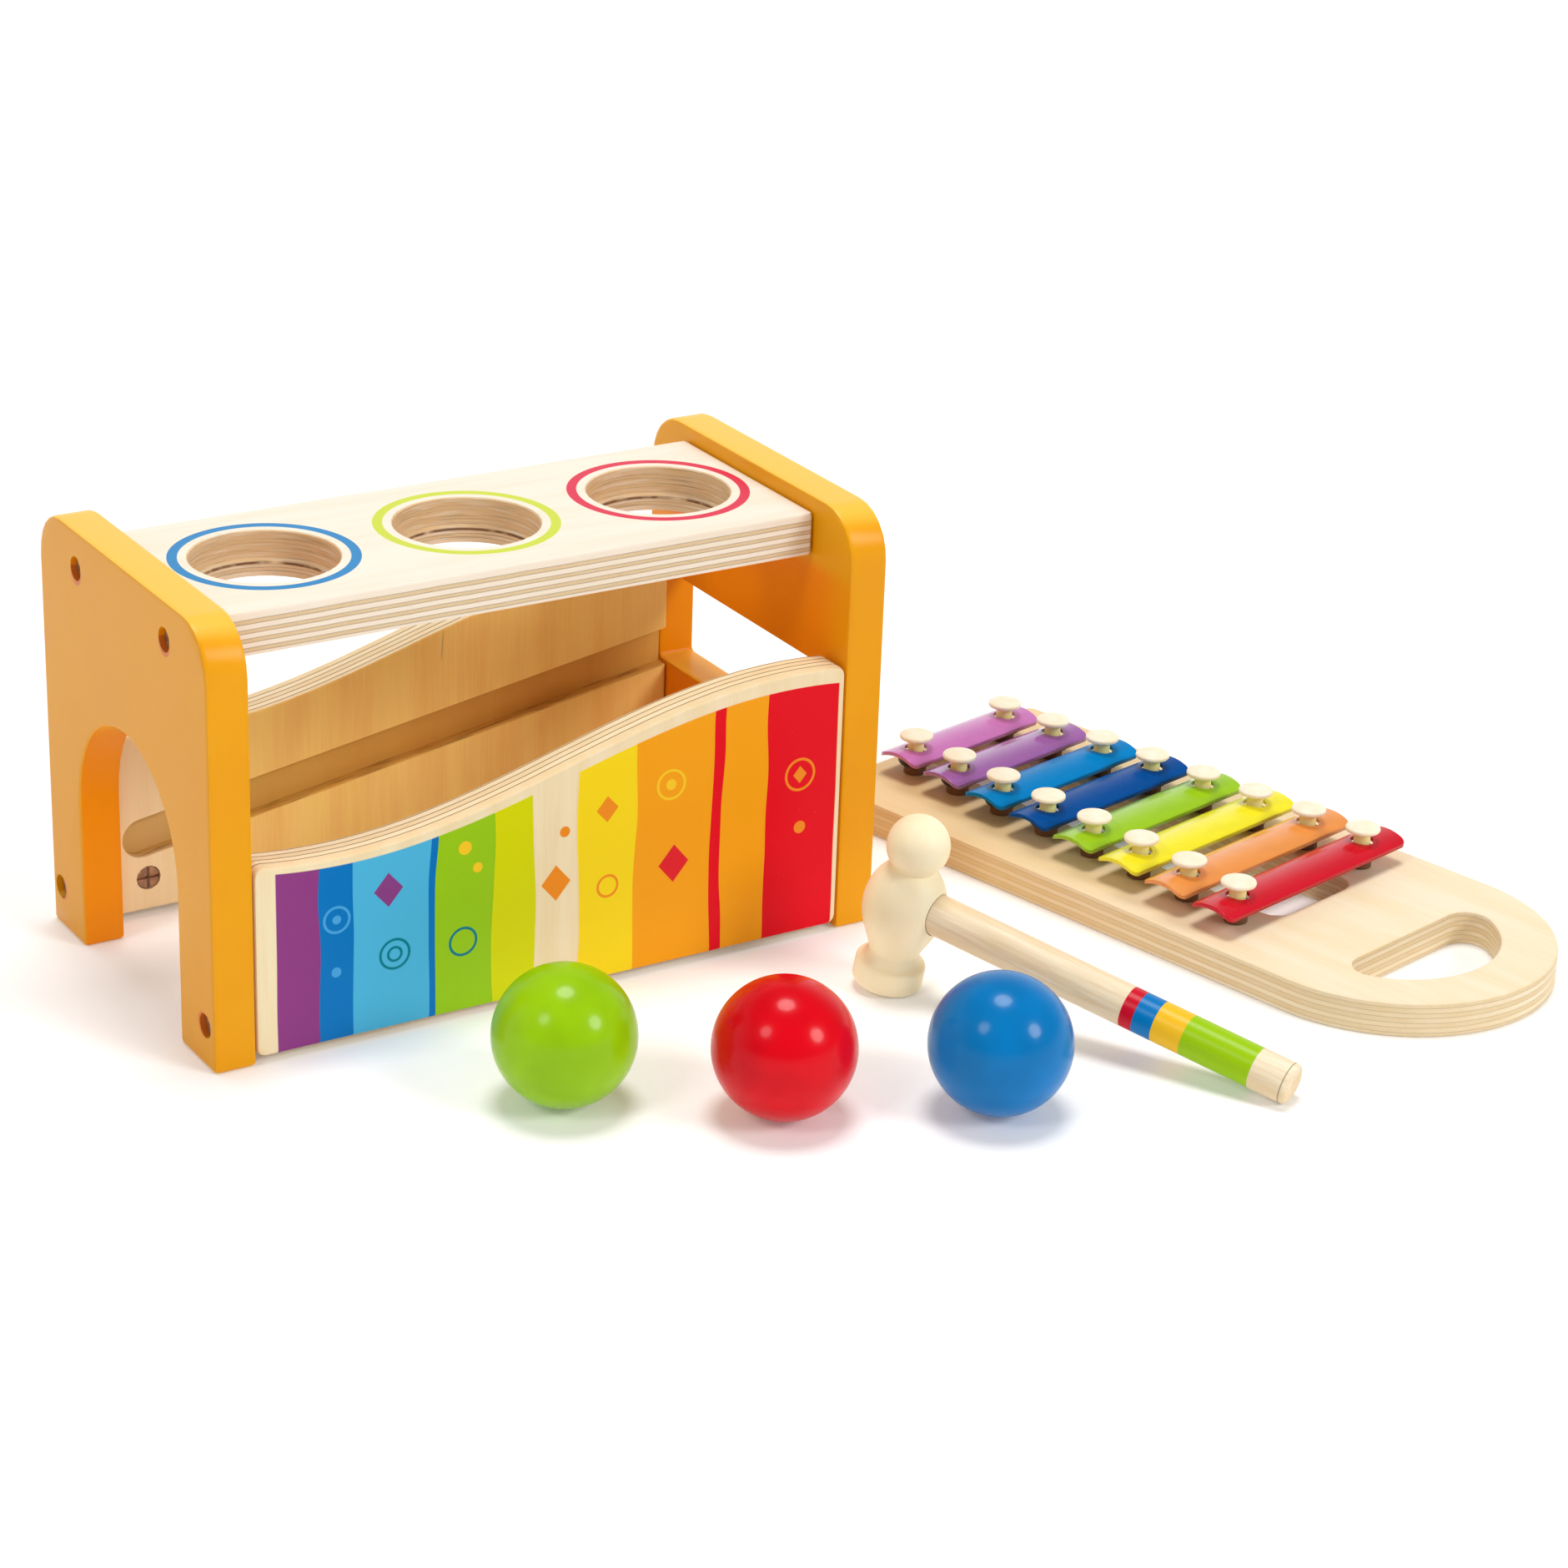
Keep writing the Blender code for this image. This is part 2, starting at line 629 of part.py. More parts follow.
def add_top_board(root):
    """The board with the ball holes, each with a narrower lip at its foot that nips the ball."""
    half_length, half_depth = BOARD_HALF_LENGTH, TOP_DEPTH / 2
    ends = ((-1, -1), (1, -1), (1, 1), (-1, 1))
    corners = [((a * half_length, b * half_depth), TOP_CORNER_RADIUS) for a, b in ends]
    outline = filleted(corners, SMALL_CORNER_STEPS)
    mesh = slab("top_board", outline, [], TOP_THICKNESS, EDGE_ROUNDING)
    board = add_object("top_board", mesh, root, paint("top_ply", PALE_PLY, 0.38))
    board.location = (0, 0, TOP_SURFACE - TOP_THICKNESS)
    lip = BALL_RADIUS + HOLE_LIP_PLAY
    bottom = TOP_SURFACE - TOP_THICKNESS
    step = bottom + HOLE_LIP_HEIGHT
    chamfer = TOP_SURFACE - HOLE_MOUTH_CHAMFER
    mouth = HOLE_RADIUS + HOLE_MOUTH_CHAMFER + CUT_OVERRUN
    profile = [(0, bottom - CUT_OVERRUN), (lip, bottom - CUT_OVERRUN), (lip, step)]
    profile += [(HOLE_RADIUS, step + HOLE_PLAY), (HOLE_RADIUS, chamfer)]
    profile += [(mouth, TOP_SURFACE + CUT_OVERRUN), (0, TOP_SURFACE + CUT_OVERRUN)]
    shape = bmesh.new()
    for x in hole_centres():
        add_turned(shape, profile, HOLE_SIDES, Matrix.Translation((x, 0, 0)))
    combine(board, finished("ball_holes", shape), "DIFFERENCE", root)
    drill(board, root)


# Xylophone


def bar_middle(i):
    """How far along the board bar i lies."""
    return BAR_FIRST_INSET + BAR_PITCH * i


def bar_length(i):
    """Bars lengthen evenly from the first to the last."""
    return BAR_SHORT_LENGTH + (BAR_LONG_LENGTH - BAR_SHORT_LENGTH) * i / (BAR_COUNT - 1)


def peg_spots():
    """Name, bar number and place of every peg along and across the board."""
    spots = []
    for i in range(BAR_COUNT):
        for row, hand in (("near", -1), ("far", 1)):
            across = hand * bar_length(i) * BAR_HOLE_SPACING_SHARE / 2
            spots.append((f"{i + 1}_{row}", bar_middle(i), across))
    return spots


def slot_outline():
    """The sound slot under the bars, which widens with them."""
    ends = []
    for i, way in ((0, -1), (BAR_COUNT - 1, 1)):
        half = bar_length(i) * BAR_HOLE_SPACING_SHARE / 2 - SLOT_PEG_MARGIN
        ends.append((bar_middle(i) + way * SLOT_OVERRUN, half))
    (first, narrow), (last, broad) = ends
    points = ((first, -narrow), (first, narrow), (last, broad), (last, -broad))
    radius = min(SLOT_CORNER_RADIUS, narrow * 3 / 4)
    return filleted([(point, radius) for point in points], SMALL_CORNER_STEPS)


def hand_hole_outline():
    """A D whose bow follows the board's round end, clockwise."""
    centre = BOARD_LENGTH - BOARD_WIDTH / 2
    bow = BOARD_WIDTH / 2 - HAND_HOLE_RIM
    radius = HAND_HOLE_CORNER_RADIUS
    corner = HAND_HOLE_START + radius
    side = math.sqrt((bow - radius) ** 2 - (corner - centre) ** 2)
    lean = math.atan2(side, corner - centre)
    outline = arc((corner, side), radius, 2 * QUARTER, lean, SMALL_CORNER_STEPS + 2)
    outline += arc((centre, 0), bow, lean, -lean, CORNER_STEPS * 3)[1:-1]
    outline += arc((corner, -side), radius, -lean, -2 * QUARTER, SMALL_CORNER_STEPS + 2)
    return outline


def add_xylophone_board(frame):
    """The paddle-shaped board with its hand hole, sound slot and peg sockets."""
    half = BOARD_WIDTH / 2
    bow = arc((BOARD_LENGTH - half, 0), half, -QUARTER, QUARTER, ROUND_END_STEPS)
    corners = [((0, half), BOARD_CORNER_RADIUS), ((0, -half), BOARD_CORNER_RADIUS)]
    corners += [(point, 0) for point in bow]
    outline = filleted(corners, SMALL_CORNER_STEPS)
    holes = [slot_outline(), hand_hole_outline()]
    mesh = slab("xylophone_board", outline, holes, BOARD_THICKNESS, BOARD_EDGE_ROUNDING)
    board = add_object("xylophone_board", mesh, frame, paint("board_ply", PALE_PLY, 0.40))
    sockets = bmesh.new()
    floor = BOARD_THICKNESS - PEG_DEPTH - SEAT_GAP
    for name, along, across in peg_spots():
        place = Matrix.Translation((along, across, 0))
        high = BOARD_THICKNESS + CUT_OVERRUN
        add_rod(sockets, PEG_RADIUS + SEAT_GAP, floor, high, GROMMET_SIDES, place)
    combine(board, finished("peg_sockets", sockets), "DIFFERENCE", frame)


def bar_arch(across):
    """Height of the bar's upper face above its low edges, at a distance across it."""
    return math.sqrt(BAR_ARCH_RADIUS**2 - across**2) - (BAR_ARCH_RADIUS - BAR_RISE)


def bar_mesh(name, length):
    """An arched sheet bar along Y, with rounded corners, standing on z = 0."""
    half, radius = BAR_WIDTH / 2, BAR_CORNER_RADIUS
    flat = half - radius
    columns = [-flat + 2 * flat * i / BAR_STRIPS for i in range(BAR_STRIPS + 1)]
    columns = [(x, length / 2) for x in columns]
    for k in range(1, BAR_CORNER_STEPS + 1):
        angle = QUARTER * k / BAR_CORNER_STEPS
        x = flat + radius * math.sin(angle)
        reach = length / 2 - radius * (1 - math.cos(angle))
        columns = [(-x, reach), *columns, (x, reach)]
    shape = bmesh.new()
    rings = []
    for x, reach in columns:
        top = bar_arch(x) + BAR_THICKNESS
        corners = ((-reach, top - BAR_THICKNESS), (reach, top - BAR_THICKNESS), (reach, top))
        corners += ((-reach, top),)
        rings.append([shape.verts.new((x, y, z)) for y, z in corners])
    bridge(shape, rings)
    shape.faces.new(rings[0])
    shape.faces.new(rings[-1])
    return finished(name, shape)


def add_bars(frame):
    """The eight bars, each loose on its two pegs."""
    for i, (colour_name, colour) in enumerate(BARS[:BAR_COUNT]):
        name = f"bar_{i + 1}_{colour_name}"
        glossy = paint(f"{colour_name}_enamel", colour, 0.18, 0.0)
        bar = add_object(name, bar_mesh(name, bar_length(i)), frame, glossy)
        rest = BOARD_THICKNESS + BAR_EDGE_HEIGHT - BAR_THICKNESS
        bar.location = (bar_middle(i), 0, rest)
        holes = bmesh.new()
        for hand in (-1, 1):
            across = hand * bar_length(i) * BAR_HOLE_SPACING_SHARE / 2
            place = Matrix.Translation((0, across, 0))
            high = BAR_RISE + BAR_THICKNESS + CUT_OVERRUN
            add_rod(holes, BAR_HOLE_RADIUS, -CUT_OVERRUN, high, PEG_SIDES, place)
        tool = combine(bar, finished(f"{name}_holes", holes), "DIFFERENCE", frame)
        tool.location = bar.location


def peg_mesh():
    """A turned peg with a low domed head, z = 0 at the board's upper face."""
    under = PEG_HEAD_UNDERSIDE
    rim = under + PEG_HEAD_RIM
    edge = PEG_HEAD_RADIUS - PEG_HEAD_ROUNDING
    profile = [(0, -PEG_DEPTH), (PEG_RADIUS - PEG_CHAMFER, -PEG_DEPTH)]
    profile += [(PEG_RADIUS, PEG_CHAMFER - PEG_DEPTH), (PEG_RADIUS, under)]
    profile += [(edge, under), (PEG_HEAD_RADIUS, under + PEG_HEAD_ROUNDING)]
    profile += [(PEG_HEAD_RADIUS, rim - PEG_HEAD_ROUNDING), (edge, rim)]
    profile += [(edge / 2, rim + PEG_HEAD_DOME * 3 / 4), (0, rim + PEG_HEAD_DOME)]
    shape = bmesh.new()
    add_turned(shape, profile, PEG_SIDES)
    return finished("peg", shape)


def grommet_mesh():
    """A rubber ring with a narrow neck below and a wide flange under the bar."""
    under_bar = BAR_EDGE_HEIGHT - BAR_THICKNESS + bar_arch(GROMMET_FLANGE_RADIUS)
    top = under_bar - SEAT_GAP
    flange = top - GROMMET_FLANGE_HEIGHT
    outer = GROMMET_FLANGE_RADIUS - GROMMET_ROUNDING
    profile = [(GROMMET_BORE, SEAT_GAP), (GROMMET_NECK_RADIUS, SEAT_GAP)]
    profile.append((GROMMET_NECK_RADIUS, flange))
    profile += [(outer, flange), (GROMMET_FLANGE_RADIUS, flange + GROMMET_ROUNDING)]
    profile += [(GROMMET_FLANGE_RADIUS, top - GROMMET_ROUNDING), (outer, top)]
    profile.append((GROMMET_BORE, top))
    shape = bmesh.new()
    add_turned(shape, profile, GROMMET_SIDES, closed=True)
    return finished("grommet", shape)


def add_pegs_and_grommets(frame):
    """A peg and a grommet at each end of every bar."""
    wood = paint("turned_wood", PALE_TURNED_WOOD, 0.45)
    rubber = paint("black_rubber", BLACK_RUBBER, 0.55)
    peg, grommet = peg_mesh(), grommet_mesh()
    for name, along, across in peg_spots():
        for kind, mesh, finish in (("peg", peg, wood), ("grommet", grommet, rubber)):
            piece = add_object(f"{kind}_{name}", mesh, frame, finish)
            piece.location = (along, across, BOARD_THICKNESS)


def add_xylophone(root):
    """The whole xylophone, lying on the floor beside the bench."""
    right, back = XYLOPHONE_PLACE
    middle = Matrix.Rotation(XYLOPHONE_TURN, 2) @ Vector((0, BOARD_WIDTH / 2))
    place = (BENCH_LENGTH / 2 + right + middle.x, back + middle.y, 0)
    frame = empty("xylophone_frame", place, (0, 0, XYLOPHONE_TURN), root)
    add_xylophone_board(frame)
    add_bars(frame)
    add_pegs_and_grommets(frame)


# Hammer


def hammer_lean():
    """The tilt at which the foot's rim and the handle's far end both touch the floor."""
    rim = FOOT_RADIUS - FOOT_ROUNDING
    along = rim - (HANDLE_REACH - HANDLE_ROUNDING)
    up = HANDLE_HEIGHT - FOOT_ROUNDING - (HANDLE_RADIUS - HANDLE_ROUNDING)
    drop = HANDLE_ROUNDING - FOOT_ROUNDING
    return math.atan2(up, -along) - math.asin(drop / math.hypot(along, up))


def head_profile():
    """Foot disc, waist, belly, neck and knob, from the foot up."""
    inner, turn = FOOT_RADIUS - FOOT_ROUNDING, FOOT_ROUNDING
    profile = [(0, 0)]
    profile += arc((inner, turn), turn, -QUARTER, 0, SMALL_CORNER_STEPS)
    profile += arc((inner, FOOT_HEIGHT - turn), turn, 0, QUARTER, SMALL_CORNER_STEPS)
    hollow = WAIST_HEIGHT - FOOT_HEIGHT
    profile.append((WAIST_RADIUS + hollow / 3, FOOT_HEIGHT + hollow / 4))
    for i in range(CORNER_STEPS + 1):
        share = i / CORNER_STEPS
        swell = math.sin(QUARTER * share) ** 1.25
        radius = WAIST_RADIUS + (BELLY_RADIUS - WAIST_RADIUS) * swell
        profile.append((radius, WAIST_HEIGHT + (BELLY_HEIGHT - WAIST_HEIGHT) * share))
    neck = BELLY_HEIGHT
    step = SHOULDER_REACH / (2 * CORNER_STEPS)
    while True:
        neck += step
        shoulder = BELLY_RADIUS * math.sqrt(1 - ((neck - BELLY_HEIGHT) / SHOULDER_REACH) ** 2)
        below_knob = max(KNOB_RADIUS**2 - (KNOB_HEIGHT - neck) ** 2, 0)
        if shoulder <= math.sqrt(below_knob) or neck + step >= BELLY_HEIGHT + SHOULDER_REACH:
            break
        profile.append((shoulder, neck))
    start = math.asin((neck - KNOB_HEIGHT) / KNOB_RADIUS)
    knob = arc((0, KNOB_HEIGHT), KNOB_RADIUS, start, QUARTER, CORNER_STEPS + 2)
    return profile + knob[:-1] + [(0, KNOB_HEIGHT + KNOB_RADIUS)]


def handle_place():
    """The handle's own Z along the hammer's X, at the handle's height on the head."""
    return Matrix.Translation((0, 0, HANDLE_HEIGHT)) @ Matrix.Rotation(QUARTER, 4, "Y")


def add_hammer(root):
    """The head and the handle, whose tenon sits in the head."""
    lean = hammer_lean()
    lift = (FOOT_RADIUS - FOOT_ROUNDING) * math.sin(lean) + FOOT_ROUNDING * (1 - math.cos(lean))
    place = (*in_front(HAMMER_PLACE), lift)
    frame = empty("hammer_frame", place, (0, lean, HAMMER_TURN), root)
    wood = paint("hammer_wood", PALE_TURNED_WOOD, 0.42)
    shape = bmesh.new()
    add_turned(shape, head_profile(), HEAD_SIDES)
    head = add_object("hammer_head", finished("hammer_head", shape), frame, wood)
    socket = bmesh.new()
    wide, narrow = HANDLE_RADIUS + SEAT_GAP, TENON_RADIUS + SEAT_GAP
    deep = HANDLE_SEAT - TENON_DEPTH - SEAT_GAP
    past = BELLY_RADIUS + CUT_OVERRUN
    profile = [(0, deep), (narrow, deep), (narrow, HANDLE_SEAT), (wide, HANDLE_SEAT)]
    profile += [(wide, past), (0, past)]
    add_turned(socket, profile, HANDLE_SIDES, handle_place())
    combine(head, finished("handle_socket", socket), "DIFFERENCE", frame)
    seat = HANDLE_SEAT + SEAT_GAP
    edge = HANDLE_RADIUS - HANDLE_ROUNDING
    profile = [(0, seat - TENON_DEPTH), (TENON_RADIUS, seat - TENON_DEPTH)]
    profile += [(TENON_RADIUS, seat), (HANDLE_RADIUS, seat)]
    profile += arc((edge, HANDLE_REACH - HANDLE_ROUNDING), HANDLE_ROUNDING, 0, QUARTER, 3)
    profile.append((0, HANDLE_REACH))
    shape = bmesh.new()
    add_turned(shape, profile, HANDLE_SIDES)
    handle = add_object("hammer_handle", finished("hammer_handle", shape), frame, wood.copy())
    handle.matrix_local = handle_place()


# Balls


def add_balls(root):
    """Three painted balls resting on the floor."""
    outline = arc((0, 0), BALL_RADIUS, -QUARTER, QUARTER, BALL_RINGS)
    profile = [(0, -BALL_RADIUS), *outline[1:-1], (0, BALL_RADIUS)]
    balls = (
        ("ball_green", BALL_GREEN_PLACE, GREEN_PAINT),
        ("ball_red", BALL_RED_PLACE, RED_PAINT),
        ("ball_blue", BALL_BLUE_PLACE, BLUE_PAINT),
    )
    for name, place, colour in balls:
        shape = bmesh.new()
        add_turned(shape, profile, BALL_SIDES)
        ball = add_object(name, finished(name, shape), root, paint(f"{name}_paint", colour, 0.12))
        right, front = in_front(place)
        ball.location = (right, front - BALL_RADIUS, BALL_RADIUS)


def centre_footprint(root):
    """Moves the set so that the middle of its box on the floor is the origin."""
    bpy.context.view_layer.update()
    graph = bpy.context.evaluated_depsgraph_get()
    corners = []
    for obj in bpy.context.scene.objects:
        if obj.type == "MESH" and not obj.hide_render:
            shown = obj.evaluated_get(graph)
            mesh = shown.to_mesh()
            corners += [shown.matrix_world @ vertex.co for vertex in mesh.vertices]
            shown.to_mesh_clear()
    for axis in (0, 1):
        values = [corner[axis] for corner in corners]
        root.location[axis] = -(min(values) + max(values)) / 2


def main():
    clear_scene()
    root = empty("toy_set", (0, 0, 0))
    add_end_panels(root)
    add_side_panels(root)
    add_top_board(root)
    add_connectors(root)
    add_xylophone(root)
    add_hammer(root)
    add_balls(root)
    centre_footprint(root)


main()
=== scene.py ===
# %% [markdown]
# # Dressing a xylophone pounding bench
#
# The toy is a small wooden bench with three holes for balls, a xylophone that slides into it
# through a window in its right end, a hammer and three painted balls. Its parts and joints are
# already packed as plain solids. This lesson gives each the finish of the real thing, and remakes
# the round pieces with finer curves.
#
# The solids could be rebuilt here from nothing, but then they might not fit each other any more. So
# they are loaded as a fixed frame, and every new piece takes its place from them.

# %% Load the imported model
import math

import bmesh
import bpy
from mathutils import Matrix, Vector


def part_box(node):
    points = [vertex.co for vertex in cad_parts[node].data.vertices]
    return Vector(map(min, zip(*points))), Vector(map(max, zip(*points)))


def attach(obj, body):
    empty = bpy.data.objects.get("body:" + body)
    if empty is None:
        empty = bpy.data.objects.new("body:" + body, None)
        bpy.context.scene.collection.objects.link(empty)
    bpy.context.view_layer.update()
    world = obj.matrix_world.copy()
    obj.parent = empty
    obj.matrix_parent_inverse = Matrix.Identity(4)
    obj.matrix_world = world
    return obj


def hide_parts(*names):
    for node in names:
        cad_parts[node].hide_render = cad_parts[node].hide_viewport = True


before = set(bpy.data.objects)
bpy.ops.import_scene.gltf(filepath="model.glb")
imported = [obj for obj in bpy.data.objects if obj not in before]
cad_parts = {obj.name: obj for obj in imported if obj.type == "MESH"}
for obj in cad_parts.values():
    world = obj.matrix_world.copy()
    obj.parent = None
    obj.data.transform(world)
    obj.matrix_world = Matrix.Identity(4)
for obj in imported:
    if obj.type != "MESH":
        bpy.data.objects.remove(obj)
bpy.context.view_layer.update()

MM = 0.001


def add_object(name, data):
    """Puts a mesh, lamp, lens or curve into the scene."""
    added = bpy.data.objects.new(name, data)
    bpy.context.scene.collection.objects.link(added)
    return added


# %% [markdown]
# ## Three local frames
#
# Wood grain follows the plank it was cut from, not the room. So the bench, the xylophone and the
# hammer each get a frame of their own: a matrix whose X runs along the wood. The numbers could be
# typed in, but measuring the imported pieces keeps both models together. The xylophone's direction
# comes from its first and last pegs. Only the hammer's place is typed in: it leans until its handle
# touches the floor.

# %% Measure the frames
BAR_COUNT = 8
FIRST_BAR_INSET = 15 * MM
HAMMER_SPOT = (98 * MM, -107.7 * MM, 1.85 * MM)
HAMMER_LEAN = math.radians(10.525)
HAMMER_TURN = math.radians(-62.8)
HANDLE_HEIGHT = 30.9 * MM


def box_middle(*nodes):
    """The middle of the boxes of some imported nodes."""
    corners = [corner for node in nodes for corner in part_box(node)]
    return sum(corners, Vector()) / len(corners)


def frame_at(origin, turn=0, lean=0):
    """A frame turned about the vertical, then leant towards its own X."""
    turned_frame = Matrix.Rotation(turn, 4, "Z") @ Matrix.Rotation(lean, 4, "Y")
    return Matrix.Translation(origin) @ turned_frame


bench_middle = box_middle("left_end_panel", "right_end_panel")
BENCH = frame_at((bench_middle.x, bench_middle.y, 0))
first_pegs = box_middle("peg_1_near", "peg_1_far")
last_pegs = box_middle("peg_8_near", "peg_8_far")
along_board = last_pegs - first_pegs
board_turn = math.atan2(along_board.y, along_board.x)
square_end = first_pegs - along_board.normalized() * FIRST_BAR_INSET
XYLOPHONE = frame_at((square_end.x, square_end.y, 0), board_turn)
HAMMER = BENCH @ frame_at(HAMMER_SPOT, HAMMER_TURN, HAMMER_LEAN)
HANDLE = HAMMER @ Matrix.Translation((0, 0, HANDLE_HEIGHT)) @ Matrix.Rotation(math.pi / 2, 4, "Y")
print("xylophone turned by", round(math.degrees(board_turn), 1), "degrees")

# %% [markdown]
# ## The camera
#
# The photograph looks down on the toy from the front left with a long lens. Lining up the bench's
# straight edges gave the camera's place and angles, with a roll of two degrees. A camera could also
# be aimed with a constraint, but a plain matrix stays put.

# %% Place the camera
PHOTO_SIDE, FOCAL_PIXELS, SENSOR = 1880, 4749.344, 36
CAMERA_PLACE = (-653.18 * MM, -979.45 * MM, 571.21 * MM)
AZIMUTH, ELEVATION, ROLL = (math.radians(a) for a in (-32.596, 23.349, 2.141))

turns = ((AZIMUTH, "Z"), (math.pi / 2 - ELEVATION, "X"), (ROLL, "Z"))
around, upwards, rolled = (Matrix.Rotation(angle, 4, axis) for angle, axis in turns)
lens = bpy.data.cameras.new("photo_camera")
lens.sensor_width = SENSOR
lens.lens = SENSOR * FOCAL_PIXELS / PHOTO_SIDE
camera = add_object("photo_camera", lens)
camera.matrix_world = Matrix.Translation(CAMERA_PLACE) @ around @ upwards @ rolled
bpy.context.scene.camera = camera
print("lens in mm:", round(lens.lens, 1))

# %% [markdown]
# ## Fields: shader maths in plain Python
#
# A finish is a sum of many small rules, and as boxes and wires these are hard to read. So one small
# class wraps a node's output, and an expression such as 1 - mask adds the Math nodes by itself.
# Colours never pass through it, because a Math node would turn them grey.

# %% Wrap a node's output
def operator(operation):
    """A Math node as an operator, and its reflected form, so that 1 - mask works."""

    def plain(self, other):
        return self.maths(operation, self, other)

    def reflected(self, other):
        return self.maths(operation, other, self)

    return plain, reflected


class Field:
    """A value that a finish works out at every point of a surface."""

    __add__, __radd__ = operator("ADD")
    __sub__, __rsub__ = operator("SUBTRACT")
    __mul__, __rmul__ = operator("MULTIPLY")
    __truediv__, __rtruediv__ = operator("DIVIDE")

    def __init__(self, socket):
        self.socket = socket

    def maths(self, operation, first, second=0):
        node = self.socket.id_data.nodes.new("ShaderNodeMath")
        node.operation = operation
        feed(node.inputs[0], first)
        feed(node.inputs[1], second)
        return Field(node.outputs[0])

    def __abs__(self):
        return self.maths("ABSOLUTE", self)


def feed(socket, value):
    """Links a field to a socket, or sets a plain number, colour or vector there."""
    if isinstance(value, Field):
        socket.id_data.links.new(value.socket, socket)
    elif isinstance(value, tuple) and socket.type == "RGBA":
        socket.default_value = (*value, 1)
    else:
        socket.default_value = value


def either(first, second):
    """The union of two masks."""
    return first + second - first * second


print("fields understand + - * / and abs")

# %% [markdown]
# ## Recipes and finishes
#
# A recipe adds nodes to a tree through one method: the node's type, then its settings, then what
# goes into its sockets. The rest are short names for what nearly every finish needs. A finish
# is a recipe with a material. Patterns are in millimetres in a frame of the wood's own, so their
# scale can be checked with a ruler, and they stay on a piece when it moves.

# %% Make recipes
class Recipe:
    """Nodes in one tree."""

    def __init__(self, tree):
        self.tree = tree

    def node(self, kind, settings=None, sockets=None, output=0):
        node = self.tree.nodes.new("ShaderNode" + kind)
        for key, value in (settings or {}).items():
            if key == "stops":
                fill_ramp(node.color_ramp, value)
            else:
                setattr(node, key, value)
        for key, value in (sockets or {}).items():
            feed(node.inputs[key], value)
        return Field(node.outputs[output])

    def parts(self, vector, place):
        """How far a vector reaches along the X, Y and Z of a frame."""
        axes = [tuple(place.col[i].to_3d()) for i in range(3)]
        dot = {"operation": "DOT_PRODUCT"}
        return [self.node("VectorMath", dot, {0: vector, 1: axis}, 1) for axis in axes]

    def noise(self, x, y, z, detail=2, roughness=0.5):
        spot = self.node("CombineXYZ", sockets={0: x, 1: y, 2: z})
        sockets = {"Vector": spot, "Scale": 1, "Detail": detail, "Roughness": roughness}
        return self.node("TexNoise", {"normalize": True}, sockets)

    def rise(self, value, low, high, start=0, end=1):
        """Turns low to high into start to end, with soft ends."""
        sockets = {0: value, 1: low, 2: high, 3: start, 4: end}
        return self.node("MapRange", {"interpolation_type": "SMOOTHSTEP"}, sockets)

    def fall(self, value, low, high):
        """1 up to low and 0 from high, with soft ends."""
        return self.rise(value, low, high, 1, 0)

    def reach(self, first, second):
        """How long the diagonal over two offsets is."""
        return self.node("Math", {"operation": "SQRT"}, {0: first * first + second * second})

    def blend(self, share, first, second):
        """A colour between two colours."""
        return self.node("Mix", {"data_type": "RGBA"}, {0: share, 6: first, 7: second}, 2)


class Finish(Recipe):
    """One material."""

    def __init__(self, name):
        self.material = bpy.data.materials.new(name)
        self.material.use_nodes = True
        super().__init__(self.material.node_tree)
        self.shader = self.tree.nodes["Principled BSDF"]

    def spot(self, place):
        """X, Y and Z of the point in a frame, in millimetres."""
        found = self.parts(self.node("TexCoord", output="Object"), place)
        start = place.inverted().translation
        return [(part + offset) / MM for part, offset in zip(found, start)]

    def facing(self, place):
        """How far the surface faces along a frame's X, Y and Z, 0 to 1."""
        return [abs(part) for part in self.parts(self.node("TexCoord", output="Normal"), place)]

    def bump(self, height, reach):
        """Raises the surface by height times reach, in metres."""
        sockets = {"Strength": 1, "Distance": reach, "Height": height}
        return self.node("Bump", sockets=sockets)

    def colour_so_far(self):
        return Field(self.shader.inputs["Base Color"].links[0].from_socket)

    def surface(self, **values):
        for name, value in values.items():
            feed(self.shader.inputs[name.replace("_", " ")], value)
        return self.material


def fill_ramp(ramp, stops):
    """Sets how a ramp passes from stop to stop, then each stop's place and colour."""
    ramp.interpolation, (first, *middle, last) = stops
    for element, (place, colour) in zip(ramp.elements, (first, last)):
        element.position, element.color = place, (*colour, 1)
    for place, colour in middle:
        ramp.elements.new(place).color = (*colour, 1)


def tint(red, green, blue):
    """A colour read off a picture, 0 to 255, as the linear light that shaders need."""
    parts = [part / 255 for part in (red, green, blue)]
    return tuple(p / 12.92 if p <= 0.04045 else ((p + 0.055) / 1.055) ** 2.4 for p in parts)


print("middle grey as linear light:", round(tint(128, 128, 128)[0], 3))

# %% [markdown]
# ## Floor and soft light
#
# Studio photographs of toys stand on a pale sweep under large soft lamps. The highlights on the
# balls show where they were: one overhead, one on the left and one at the front right. Square lamps
# near the toy would leave the far floor dark, so each lamp is a sun as wide as a soft box looks.
# Gloss needs something to mirror: a bright backdrop behind the toy whitens what is seen at a low
# angle, while the dimmer, warmer room in front keeps the colours that face us deep. The sweep goes
# on a little above the horizon, so the floor seems to have no end. The paper glows faintly, as a
# sweep lit through from behind does, which keeps the shadows pale.

# %% Lay the floor and hang the lamps
LAMPS = (
    ("overhead_lamp", (0.067, 0.104, 0.992), 22, 1.55),
    ("left_lamp", (-0.692, -0.179, 0.696), 17, 0.54),
    ("front_right_lamp", (0.444, -0.709, 0.547), 20, 1.24),
)
BACKDROP_LIGHT, ROOM_LIGHT = 1, 0.25
ROOM_COLOUR = (1, 0.96, 0.89)
FLOOR_HALF = 40

